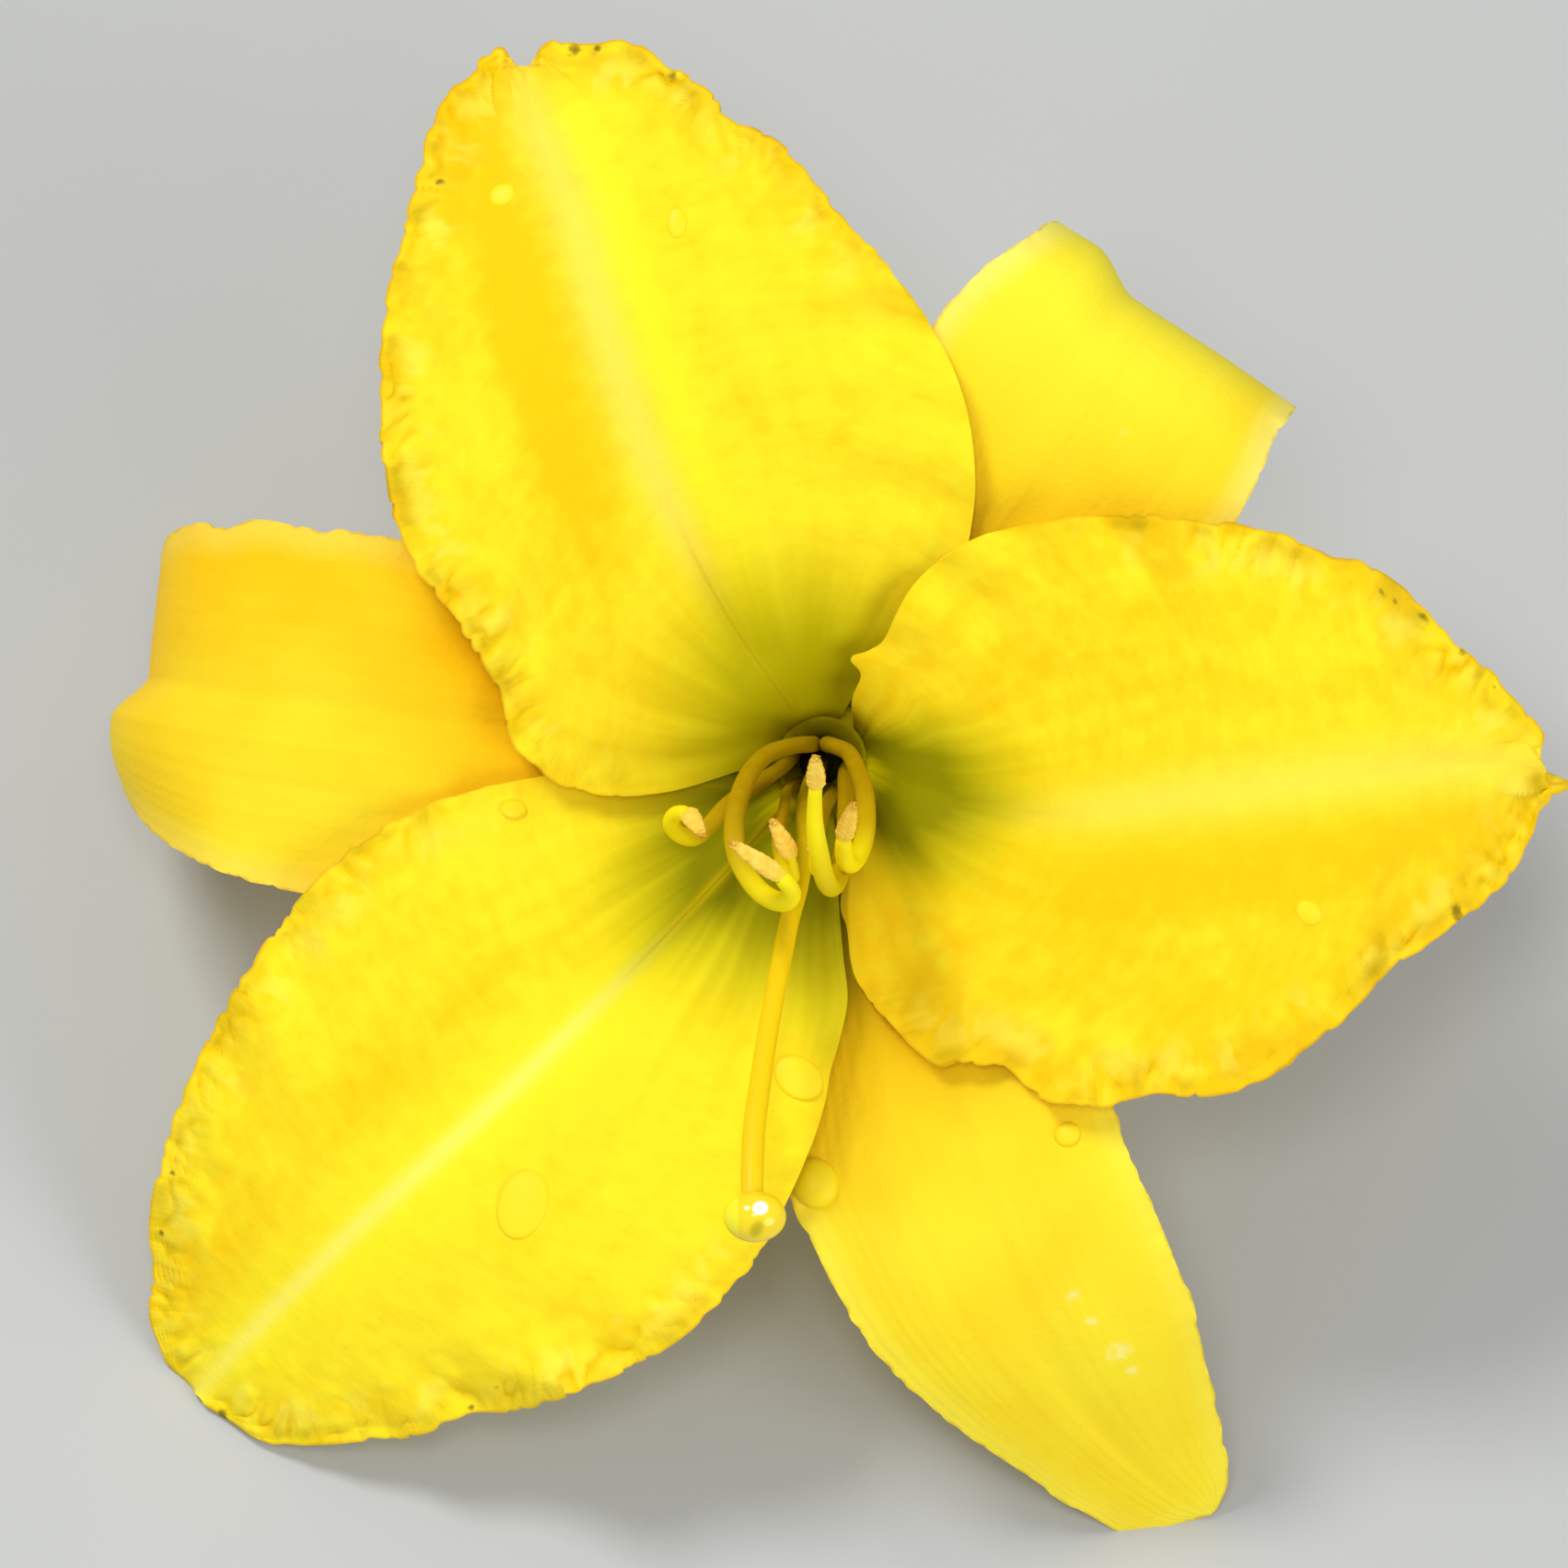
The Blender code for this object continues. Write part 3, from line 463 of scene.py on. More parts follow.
def finished(name, bm, sharp_angle):
    mesh = bpy.data.meshes.new(name)
    bm.to_mesh(mesh)
    bm.free()
    mesh.shade_smooth()
    mesh.set_sharp_from_angle(angle=math.radians(sharp_angle))
    piece = bpy.data.objects.new(name, mesh)
    bpy.context.scene.collection.objects.link(piece)
    return piece


class Shade:
    """A socket of a material. Sums and products of shades become the material's Math nodes."""

    def __init__(self, tree, socket):
        self.tree = tree
        self.socket = socket

    def node(self, kind, settings=None, values=None, output=0):
        made = self.tree.nodes.new(kind)
        for key, value in (settings or {}).items():
            if key == "stops":
                ramp = made.color_ramp
                while len(ramp.elements) < len(value):
                    ramp.elements.new(0.5)
                for element, (place, colour) in zip(ramp.elements, value):
                    element.position = place
                    element.color = (*colour, 1.0)
            else:
                setattr(made, key, value)
        for key, value in (values or {}).items():
            if isinstance(value, Shade):
                self.tree.links.new(value.socket, made.inputs[key])
            else:
                made.inputs[key].default_value = value
        return Shade(self.tree, made.outputs[output])

    def math(self, operation, *values):
        return self.node("ShaderNodeMath", {"operation": operation}, dict(enumerate(values)))

    def __add__(self, other):
        return self.math("ADD", self, other)

    def __sub__(self, other):
        return self.math("SUBTRACT", self, other)

    def __rsub__(self, other):
        return self.math("SUBTRACT", other, self)

    def __mul__(self, other):
        return self.math("MULTIPLY", self, other)

    def __truediv__(self, other):
        return self.math("DIVIDE", self, other)

    def __pow__(self, other):
        return self.math("POWER", self, other)

    __radd__ = __add__
    __rmul__ = __mul__

    def size(self):
        return self.math("ABSOLUTE", self)

    def step(self, start, end):
        """Rises smoothly from 0 to 1 between start and end."""
        settings = {"interpolation_type": "SMOOTHSTEP"}
        values = {"Value": self, "From Min": start, "From Max": end}
        return self.node("ShaderNodeMapRange", settings, values)

    def bell(self, width):
        return self.math("EXPONENT", (self / width) ** 2.0 * -1.0)

    def mark(self, title):
        """The three numbers of one of the piece's own attributes."""
        vector = self.node("ShaderNodeAttribute", {"attribute_name": title}, output="Vector")
        split = self.tree.nodes.new("ShaderNodeSeparateXYZ")
        self.tree.links.new(vector.socket, split.inputs[0])
        return [Shade(self.tree, output) for output in split.outputs]

    def place(self):
        return self.node("ShaderNodeTexCoord", output="Object")

    def grain(self, scale, detail=2.0, place=None):
        """Noise in millimetres of the piece, or over another place."""
        if place is None:
            ends = {0: self.place(), 1: (1.0 / MM,) * 3}
            place = self.node("ShaderNodeVectorMath", {"operation": "MULTIPLY"}, ends)
        values = {"Vector": place, "Scale": scale, "Detail": detail}
        return self.node("ShaderNodeTexNoise", None, values)

    def field(self, *numbers, scale=1.0, detail=2.0):
        """Noise over three numbers of the piece's own."""
        place = self.node("ShaderNodeCombineXYZ", None, dict(enumerate(numbers)))
        return self.grain(scale, detail, place)

    def fall(self, start, end):
        """Falls smoothly from 1 to 0 between start and end."""
        return 1.0 - self.step(start, end)

    def mix(self, factor, first, second):
        first, second = (
            value if isinstance(value, Shade) else (*value, 1.0) for value in (first, second)
        )
        values = {"Factor": factor, 6: first, 7: second}
        return self.node("ShaderNodeMix", {"data_type": "RGBA"}, values, output=2)

    def layered(self, body, *layers):
        """Lays colours over a body in turn, each as far as its share says."""
        for share, colour in layers:
            body = self.mix(share, body, colour)
        return body


def skin(name, constants):
    """A new Principled material, with its unchanging values set on the shader."""
    made = bpy.data.materials.new(name)
    made.use_nodes = True
    shader = made.node_tree.nodes["Principled BSDF"]
    for key, value in constants.items():
        shader.inputs[key].default_value = value
    return made, Shade(made.node_tree, None)


def wear(made, shade, colour, roughness=None, height=None, depth=0.1):
    """Joins a material's colour, roughness and relief, in millimetres, to its shader."""
    shader = made.node_tree.nodes["Principled BSDF"]
    links = made.node_tree.links
    links.new(colour.socket, shader.inputs["Base Color"])
    if roughness is not None:
        links.new(roughness.socket, shader.inputs["Roughness"])
    if height is not None:
        values = {"Strength": 1.0, "Distance": depth * MM, "Height": height}
        bump = shade.node("ShaderNodeBump", None, values, "Normal")
        links.new(bump.socket, shader.inputs["Normal"])


PETAL_YELLOW = (0.98, 0.60, 0.004)
PETAL_LEMON = (1.0, 0.81, 0.020)
THROAT_RUN = 50.0
# The throat's green from each petal's foot outwards. The first two stops paint the deepest foot pale
# gold, as painted light against the shade down in the throat.
THROAT_GREEN_AND_PAINTED_LIGHT = (
    (0.0, (0.95, 0.80, 0.003)), (0.07, (0.60, 0.52, 0.001)), (0.15, (0.28, 0.265, 0.001)),
    (0.31, (0.25, 0.235, 0.001)), (0.46, (0.50, 0.45, 0.001)), (0.62, (0.82, 0.70, 0.001)),
)
THROAT_LIME = (0.58, 0.50, 0.001)
RIM_GOLD = (0.94, 0.53, 0.004)
RIM_SHADE_OLIVE = (0.50, 0.36, 0.006)
RIM_TAN = (0.62, 0.30, 0.012)
RIM_BROWN = (0.13, 0.10, 0.012)
RIB_PAINTED_LIGHT_YELLOW = (1.0, 0.90, 0.02)
CREASE_SHADE_AMBER = (0.62, 0.46, 0.002)
CREASE_SHADE_DARK = (0.24, 0.19, 0.001)
VALLEY_SHADE_AMBER = (0.74, 0.50, 0.002)
CREST_LIGHT_PALE = (1.0, 0.92, 0.07)
FOLD_LIGHT_PALE = (1.0, 0.93, 0.12)


def blots(shade, body, spots, colour, strength):
    """Lays ragged spots of another colour on a blade: each a place on it and a radius."""
    ragged = shade.grain(0.9, 3.0) - 0.5
    for place, size in spots:
        ends = {0: shade.place(), 1: place}
        away = shade.node("ShaderNodeVectorMath", {"operation": "DISTANCE"}, ends, "Value")
        mark = 1.0 - (away / (size * MM) + ragged * 2.4).step(0.1, 1.1)
        body = shade.mix(mark * strength, body, colour)
    return body


def petal_skin(name, shape):
    made, shade = skin(name, {"Specular IOR Level": 0.2, "Specular Tint": (1.0, 0.85, 0.2, 1.0)})
    rib, run, rim = shade.mark("blade_mm")
    v, u, along = shade.mark("blade_share")
    crinkle, crimped, blister = shade.mark("blade_relief")
    drift = shade.grain(0.06, 2.0)
    mottle = shade.grain(0.45, 3.0) - 0.5
    fine = shade.grain(1.4, 3.0)
    fan = (v.size() - u * 0.22) * 20.0
    streak = shade.field(fan * 0.28, run * 0.022, v * 0.8)
    rays = shade.field(fan * 0.55, run * 0.02, 4.0) - 0.5
    after_lemon, before_lemon = shape["lemon"]
    side = v.step(-0.4, 0.4) * (after_lemon - before_lemon) + before_lemon
    ripple = shade.field(rib * 0.26, run * 0.7, 3.0) - 0.5
    # The blisters add to the tone, so they are painted paler where they rise: painted light on their
    # tops.
    tone = (streak * 0.4 + drift * 0.6 - 0.5) * 1.3 + side + mottle * 0.7 + ripple * 0.5 + blister * 0.4
    tone = tone + rays * run.fall(26.0, 60.0) * 0.7
    gold_place, gold_width, gold_strength = shape["gold"]
    tone = tone - (rib - gold_place).bell(gold_width) * run.step(26.0, 44.0) * gold_strength
    body = shade.mix(tone.step(0.0, 1.0), PETAL_YELLOW, PETAL_LEMON)
    core_width, core_strength, rib_light_place, rib_light_width, rib_light_strength = shape["stripe"]
    along_rib = run.step(12.0, 34.0) * (1.0 - u.step(0.88, 1.0) * 0.35)
    # A lemon band along the rib, to one side of it on the upper petal: painted light on the lit side of
    # the rib.
    rib_light = (rib - rib_light_place).bell(rib_light_width)
    body = shade.mix(rib_light * along_rib * rib_light_strength, body, RIB_PAINTED_LIGHT_YELLOW)
    pale_width = (run.step(8.0, 50.0) * 0.6 + 0.4) * core_width
    body = shade.mix((rib / pale_width).bell(1.0) * along_rib * core_strength, body, shape["pale"])
    # How far in the yellow reaches on each side. On the lower left petal the side under the upper petal's
    # margin reaches further in: painted light where that margin's shade falls.
    after_yellow, before_yellow = shape["yellow_sides"]
    sides = v.step(0.15, 0.8) * after_yellow + (v * -1.0).step(0.3, 0.9) * before_yellow
    reach = run / shape["green"] + (streak - 0.5) * 8.0 + rays * 4.5 - (rib / 1.8).bell(1.0) * 2.0 + sides
    throat = shade.node("ShaderNodeValToRGB", {"stops": THROAT_GREEN_AND_PAINTED_LIGHT}, {0: reach / THROAT_RUN})
    # Lime over the throat, most on the upper petal: painted light where a petal's throat wall is lit.
    throat = shade.mix(shape["throat_painted_light"], throat, THROAT_LIME)
    ridge = run.step(4.0, 9.0) * run.fall(20.0, 36.0)
    # How strongly a petal's margin is browned, which also scales the painted shade in its valleys and
    # hollows.
    crease, browning_and_shade = shape["crease"], shape["browning_and_shade"]
    band = rim.fall(1.0, 7.0) * crimped
    # The crimps' valleys are painted amber, as painted shade, and their crests pale, as painted light.
    valley_shade = (crinkle * -1.0).step(0.02, 0.45) * band
    patch = shade.field(along, rim * 0.7, 5.0, scale=0.22).step(0.42, 0.62)
    # Broad folds along the margin: pale puffs a little way in, painted light, and olive hollows at the
    # edge, painted shade.
    fold_shading = shade.field(along, rim * 0.6, 7.0, scale=0.3, detail=3.0).step(0.48, 0.62) * crimped
    line = rim.fall(0.05, 0.32) * crimped
    body = shade.layered(
        body,
        (reach.fall(14.0, 33.0), throat),
        # Amber and dark lines along the rib's groove near the throat: painted shade in the groove.
        (rib.bell(0.6) * ridge * (crease + 0.1), CREASE_SHADE_AMBER),
        ((rib.size() - 0.75).bell(0.2) * ridge * crease * 0.2, CREASE_SHADE_DARK),
        (rib.bell(0.16) * ridge * crease, CREASE_SHADE_DARK),
        (band * (patch * 0.45 + 0.12) * browning_and_shade, RIM_GOLD),
        (valley_shade * (patch * 0.5 + 0.45) * browning_and_shade, VALLEY_SHADE_AMBER),
        (crinkle.step(0.05, 0.45) * band * 0.4, CREST_LIGHT_PALE),
        ((rim - 3.4).bell(1.7) * fold_shading * 0.34, FOLD_LIGHT_PALE),
        ((rim - 0.9).bell(0.8) * fold_shading * 0.48 * browning_and_shade, RIM_SHADE_OLIVE),
        (line * 0.55 * browning_and_shade, RIM_TAN),
    )
    body = blots(shade, body, shape["spots"], RIM_BROWN, 0.8)
    wrinkle = (shade.field(along * 0.9, rim * 0.2, 0.0) - 0.5).size()
    crepe = shade.field(rib * 0.45, run * 0.8, 0.0, detail=3.0)
    relief = (crepe * 0.25 + ripple * 0.4 + mottle * 0.4) * run.step(12.0, 34.0) + fine * 0.15
    relief = wrinkle * rib.size().step(0.5, 2.5) * band + relief
    wear(made, shade, body, 0.56 + fine * 0.12, relief, 0.2)
    return made


for petal_name, petal_shape in PETALS.items():
    surface, petal_grid = petal_surface(petal_shape)
    petal = blade_mesh(petal_name + "_skin", surface, petal_grid, *PETAL_THICKNESS)
    petal_shape["spots"] = placed_marks(petal_name, petal_shape["marks"])
    petal.data.materials.append(petal_skin(petal_name + "_finish", petal_shape))
    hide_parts(petal_name)
    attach(petal, "root")


# The sepals. Three narrower, smoother blades grow from the outside of the tube's rim, behind the
# petals. They are ribbed lengthwise with fine veins and painted paler along their margins, as
# painted light where the margins curl up, and two of them have rolled their tips back and under.
SEPAL_SET_BACK = 3.9
SEPAL_BASE_SET_BACK = 1.6
SEPAL_SET_BACK_RUN = (4.5, 12.0)
SEPALS = {
    "sepal_left": {
        "bearing": 174,
        "rib": ((-20.0, 2.0), (-40.0, 4.4), (-60.0, 6.4), (-84.5, 8.2)),
        "after": (
            (-10.5, -6.4), (-22.0, -11.5), (-36.0, -13.8), (-49.8, -12.6), (-56.2, -11.1), (-63.0, -8.0),
            (-69.0, -4.6), (-77.0, 1.5), (-84.0, 7.0),
        ),
        "before": (
            (-10.0, 8.8), (-25.0, 15.8), (-40.5, 21.35), (-43.5, 21.75), (-46.3, 22.2), (-47.7, 22.0),
            (-51.1, 22.7), (-54.9, 23.1), (-57.4, 22.4), (-60.0, 22.9), (-62.8, 22.6), (-67.2, 21.2),
            (-71.5, 18.6), (-78.5, 14.0), (-84.2, 9.4),
        ),
        "roll": {"bearing": 175, "start": 55.6, "radius": 9.5, "flare": (3.4, -2.5, 2.0, 3.0, 14.0)},
        "tip_drop": 2.0, "phase": 1.2, "lemon": (0.52, 0.20), "foot_gold": 0.0, "edge": (1.0, 0.76, 0.11),
        "glints": (),
    },
    "sepal_upper_right": {
        "bearing": 50,
        "rib": ((11.6, 13.9), (23.0, 27.6), (34.0, 42.0), (43.8, 60.2)),
        "after": (
            (0.7, 12.5), (4.2, 25.2), (8.4, 37.5), (13.0, 45.0), (19.8, 50.8), (27.0, 56.8), (35.0, 60.8),
            (42.4, 60.9),
        ),
        "before": (
            (12.2, 2.8), (24.1, 8.5), (34.5, 15.6), (40.6, 24.4), (43.6, 31.4), (45.7, 34.4),
            (48.2, 38.6), (49.2, 50.0), (44.8, 59.4),
        ),
        "roll": {"bearing": 57, "start": 44.4, "radius": 9.0, "flare": (2.5, -1.0, 5.0, 9.0, 20.0)},
        "tip_drop": 1.0, "phase": 5.1, "lemon": (1.1, 0.8), "foot_gold": 0.65, "edge": (1.0, 0.90, 0.26),
        "glints": ((28.8, 31.6, 0.8),),
    },
    "sepal_lower_right": {
        "bearing": 290,
        "rib": ((7.0, -20.0), (14.3, -41.9), (22.4, -58.5), (30.5, -68.0), (37.6, -72.8)),
        "after": (
            (12.1, -8.0), (20.6, -15.4), (25.8, -26.0), (28.9, -36.0), (32.0, -43.2), (35.2, -50.9),
            (37.2, -58.6), (38.7, -65.6), (39.3, -69.0), (38.3, -72.2),
        ),
        "before": (
            (-2.7, -14.2), (-3.6, -28.3), (-3.2, -41.7), (-0.8, -46.4), (3.8, -55.0), (10.0, -61.7),
            (18.2, -67.8), (25.4, -72.6), (30.6, -74.8), (35.4, -73.4),
        ),
        "tip_drop": 13.0, "phase": 3.3, "lemon": (0.72, 0.66), "foot_gold": 0.55,
        "edge": (1.0, 0.88, 0.08),
        "glints": ((24.2, -51.2, 0.8), (26.0, -53.6, 0.9), (28.6, -56.4, 1.4), (29.8, -58.6, 0.8)),
    },
}
SEPAL_ROWS, SEPAL_COLUMNS, SEPAL_GATHER = 220, 96, 0.25
SEPAL_THICKNESS = (0.8, 0.4)
SEPAL_YELLOW = (0.97, 0.54, 0.002)
SEPAL_LEMON = (1.0, 0.84, 0.03)
SEPAL_GOLD = (0.97, 0.60, 0.003)
GLINT = (1.0, 0.90, 0.42)
SEPAL_FOOT = (0.46, 0.44, 0.004)
SEPAL_RIM = (0.55, 0.30, 0.02)
VEIN_GOLD = (0.94, 0.60, 0.003)


def rolled(points, bearing, start, radius, flare):
    """Rolls what lies beyond start back and under on a circle. One side flares and rolls later."""
    turn = math.radians(bearing)
    out = np.array([math.cos(turn), math.sin(turn), 0.0])
    side = points @ np.array([-math.sin(turn), math.cos(turn), 0.0])
    reach, rise, risen, fall, gone = flare
    start = start + reach * eased(side, rise, risen) * (1.0 - eased(side, fall, gone))
    beyond = np.maximum(points @ out - start, 0.0)
    turn = beyond / radius
    moved = points + (radius * np.sin(turn) - beyond)[..., None] * out
    moved[..., 2] -= radius * (1.0 - np.cos(turn))
    return moved


def sepal_surface(shape):
    """A sepal's middle surface, with its shallow channel, veins and slightly wavy margin."""
    grid = blade_grid(shape, SEPAL_ROWS, SEPAL_COLUMNS, SEPAL_GATHER)
    u, v, run, rim, rib, along = (grid[key] for key in ("u", "v", "run", "rim", "rib", "along_rim"))
    side_rib = grid["side_rib"]
    seed = int(shape["phase"] * 100)
    settled = eased(run, *SEPAL_SET_BACK_RUN)
    lift = -SEPAL_BASE_SET_BACK - (SEPAL_SET_BACK - SEPAL_BASE_SET_BACK) * settled
    lift += 0.5 * grid["channel"] + 0.4 * (1.0 - v**2) * grid["grown"]
    wave = 0.35 * np.sin(2.0 * math.pi * 4.3 * u + shape["phase"] + 2.0 * v)
    lift += wave * v**2 * eased(u, 0.5, 0.7)
    vein = lumps(seed, v * 14.0, run, 0.5, 30.0) * eased(run, 10.0, 24.0)
    furrow = lumps(seed + 1, v * 14.0, run, 2.6, 40.0) * eased(run, 10.0, 24.0)
    broad = lumps(seed + 2, side_rib, run, 9.0, 15.0) * eased(rib, 2.0, 6.0)
    edge_wave = lumps(seed + 3, along, rim, 2.4, 6.0) + 0.6 * lumps(seed + 4, along, rim, 1.1, 4.0)
    edge_wave *= np.exp(-rim / 2.4) * eased(u, 0.3, 0.55)
    crepe = lumps(seed + 5, side_rib, run, 1.1, 1.7)
    ribbed = eased(grid["half_width"], 4.0, 14.0)
    lift += (0.013 * vein + 0.02 * furrow) * ribbed + 0.35 * broad * eased(u, 0.2, 0.4)
    lift += 0.2 * edge_wave + 0.02 * crepe
    scallop = np.minimum(1.0, 1.6 * np.abs(lumps(seed + 6, along, 0.0 * rim, 1.7, 5.0))) - 0.6
    scallop *= np.exp(-rim / 1.6) * eased(u, 0.25, 0.5) * (1.0 - eased(u, 0.96, 0.99))
    scalloped(grid, 0.3 * scallop)
    grid["relief"] = np.stack([edge_wave, vein, furrow], axis=-1)
    points = bowl_point(grid["run"], grid["angle"], lift)
    points[:, :, 2] -= fallen(shape, u)
    if "roll" in shape:
        points = rolled(points, **shape["roll"])
    return with_claw(points, grid)


def sepal_skin(name, shape):
    made, shade = skin(name, {"Specular IOR Level": 0.2, "Specular Tint": (1.0, 0.85, 0.3, 1.0)})
    _, run, rim = shade.mark("blade_mm")
    v, u, along = shade.mark("blade_share")
    _, vein, _ = shade.mark("blade_relief")
    drift = shade.grain(0.07, 2.0)
    fine = shade.grain(1.6, 3.0)
    streak = shade.field(v * 12.0, run * 0.025, 0.0, detail=3.0)
    after_lemon, before_lemon = shape["lemon"]
    side = v.step(-0.8, 0.8) * (after_lemon - before_lemon) + before_lemon
    tone = (streak * 0.15 + drift * 0.85 - 0.5) * 1.1 + side - run.fall(16.0, 52.0) * 0.45
    body = shade.mix(tone.step(-0.1, 1.1), SEPAL_YELLOW, SEPAL_LEMON)
    body = shade.layered(
        body,
        (vein.step(0.1, 0.8) * 0.03, VEIN_GOLD),
        # A paler band along each margin: painted light where the margin curls up.
        (rim.fall(0.2, 3.6) * u.step(0.2, 0.5) * 0.45, shape["edge"]),
    )
    body = blots(shade, body, placed_marks(name.replace("_finish", ""), shape["glints"]), GLINT, 0.5)
    wandering = run + drift * 6.0
    line = rim.fall(0.08, 0.35) * u.step(0.3, 0.5)
    line = line * shade.field(along, 2.0, 0.0, scale=0.6).step(0.35, 0.65)
    body = shade.layered(
        body,
        (wandering.fall(38.0, 60.0) * shape["foot_gold"], SEPAL_GOLD),
        (wandering.fall(14.0, 40.0), SEPAL_FOOT),
        (line * 0.5, SEPAL_RIM),
    )
    wear(made, shade, body, 0.56 + fine * 0.12, vein * 0.25 + fine * 0.6, 0.1)
    return made


for sepal_name, sepal_shape in SEPALS.items():
    surface, sepal_grid = sepal_surface(sepal_shape)
    sepal = blade_mesh(sepal_name + "_skin", surface, sepal_grid, *SEPAL_THICKNESS)
    sepal.data.materials.append(sepal_skin(sepal_name + "_finish", sepal_shape))
    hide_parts(sepal_name)
    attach(sepal, "root")


# The perianth tube. The six blades grow together behind the throat into one fleshy tube, ribbed
# where each blade runs down it. It hides the ovary, and narrows to the short green stalk that it
# was cut from.
TUBE_OUTSIDE = (
    (5.3, 1.15), (6.3, 0.75), (6.75, -0.7), (6.6, -2.2), (5.7, -5.2), (4.85, -9.5), (4.1, -15.0),
    (3.7, -21.0), (3.45, -25.0), (2.8, -26.6), (2.6, -31.4),
)
TUBE_INSIDE = (
    (2.1, -23.5), (2.1, -15.5), (2.15, -9.0), (2.4, -5.6), (2.9, -3.2), (3.6, -1.2), (4.3, 0.4),
)
TUBE_AROUND = 96
TUBE_SHARP_ANGLE = 40.0
TUBE_RIBS, TUBE_RIB_SHARE, TUBE_RIB_TURN = 6, 0.018, math.radians(54.0)
TUBE_GREEN = (0.40, 0.43, 0.02)
THROAT_WALL_PAINTED_LIGHT = (0.90, 0.78, 0.003)
STREAK_GREEN = (0.30, 0.36, 0.02)
STALK_GREEN = (0.12, 0.22, 0.02)


def loft(name, rings, sides, sharp_angle, marks):
    """A closed skin over rings: each ring is a function of the angle that gives a point."""
    bm = bmesh.new()
    layer = bm.verts.layers.float_vector.new("stem_mm")
    bmesh.ops.create_grid(bm, x_segments=sides, y_segments=len(rings) - 1, size=1.0)
    bm.verts.ensure_lookup_table()
    for number, vert in enumerate(bm.verts):
        row, side = divmod(number, sides + 1)
        angle = 2.0 * math.pi * (side % sides) / sides
        vert.co = rings[row](angle)
        vert[layer] = (*marks[row], angle)
    bmesh.ops.remove_doubles(bm, verts=bm.verts[:], dist=2e-4)
    bmesh.ops.dissolve_degenerate(bm, dist=1e-5, edges=bm.edges[:])
    bmesh.ops.recalc_face_normals(bm, faces=bm.faces[:])
    bmesh.ops.transform(bm, matrix=to_world, verts=bm.verts[:])
    cut_flat(bm)
    return finished(name, bm, sharp_angle)


def tube_ring(radius, height, ribbed):
    def point(angle):
        around = radius * (1.0 + ribbed * math.cos(TUBE_RIBS * (angle - TUBE_RIB_TURN)))
        return (around * math.cos(angle), around * math.sin(angle), height)
    return point


outside = smooth_line(TUBE_OUTSIDE, 60)
inside = smooth_line(TUBE_INSIDE, 24)
tube_rings = [tube_ring(0.0, TUBE_INSIDE[0][1], 0.0)]
tube_rings += [tube_ring(radius, height, 0.0) for radius, height in inside]
for radius, height in outside:
    ribbed = TUBE_RIB_SHARE * float(eased(height, -25.0, -20.0) * eased(-height, 0.5, 4.0))
    tube_rings.append(tube_ring(radius, height, ribbed))
tube_rings += [tube_ring(0.0, TUBE_OUTSIDE[-1][1], 0.0)]
inner_rings = 1 + len(inside)
tube_marks = [(ring(0.0)[2], float(number < inner_rings)) for number, ring in enumerate(tube_rings)]
perianth = loft("perianth_tube_skin", tube_rings, TUBE_AROUND, TUBE_SHARP_ANGLE, tube_marks)

tube_finish, shade = skin("perianth_tube_finish", {"Specular IOR Level": 0.4})
height, lining, angle = shade.mark("stem_mm")
drift = shade.grain(0.25, 3.0)
streaks = shade.field(angle * 6.0, height * 0.05, 0.0)
colour = shade.mix((height + drift * 6.0).step(-16.0, 0.0), TUBE_GREEN, SEPAL_FOOT)
colour = shade.layered(
    colour,
    (streaks.step(0.5, 0.7) * 0.4, STREAK_GREEN),
    (height.fall(-27.0, -24.0), STALK_GREEN),
    # The lining and the mouth are painted pale gold, far paler than their own olive: painted light down
    # the tube.
    (lining + height.step(-1.0, 0.6), THROAT_WALL_PAINTED_LIGHT),
)
wear(tube_finish, shade, colour, 0.38 + drift * 0.2, streaks + drift * 0.3, 0.15)
perianth.data.materials.append(tube_finish)
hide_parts("perianth_tube")
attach(perianth, "root")


# The filaments. Six round stalks rise from inside the throat, bend down towards the bottom of the
# flower and turn up again at their ends. They are painted brown-gold low down, as painted shade
# where they lie deep in the throat, and bright yellow where they turn up, and each thins to the
# point that carries its anther.
FILAMENT_FOOT_SHARE = 0.8
FILAMENT_RINGS, FILAMENT_SIDES = 110, 20
STEM_SHARP_ANGLE = 70.0
SEAT_DEPTH = 0.9
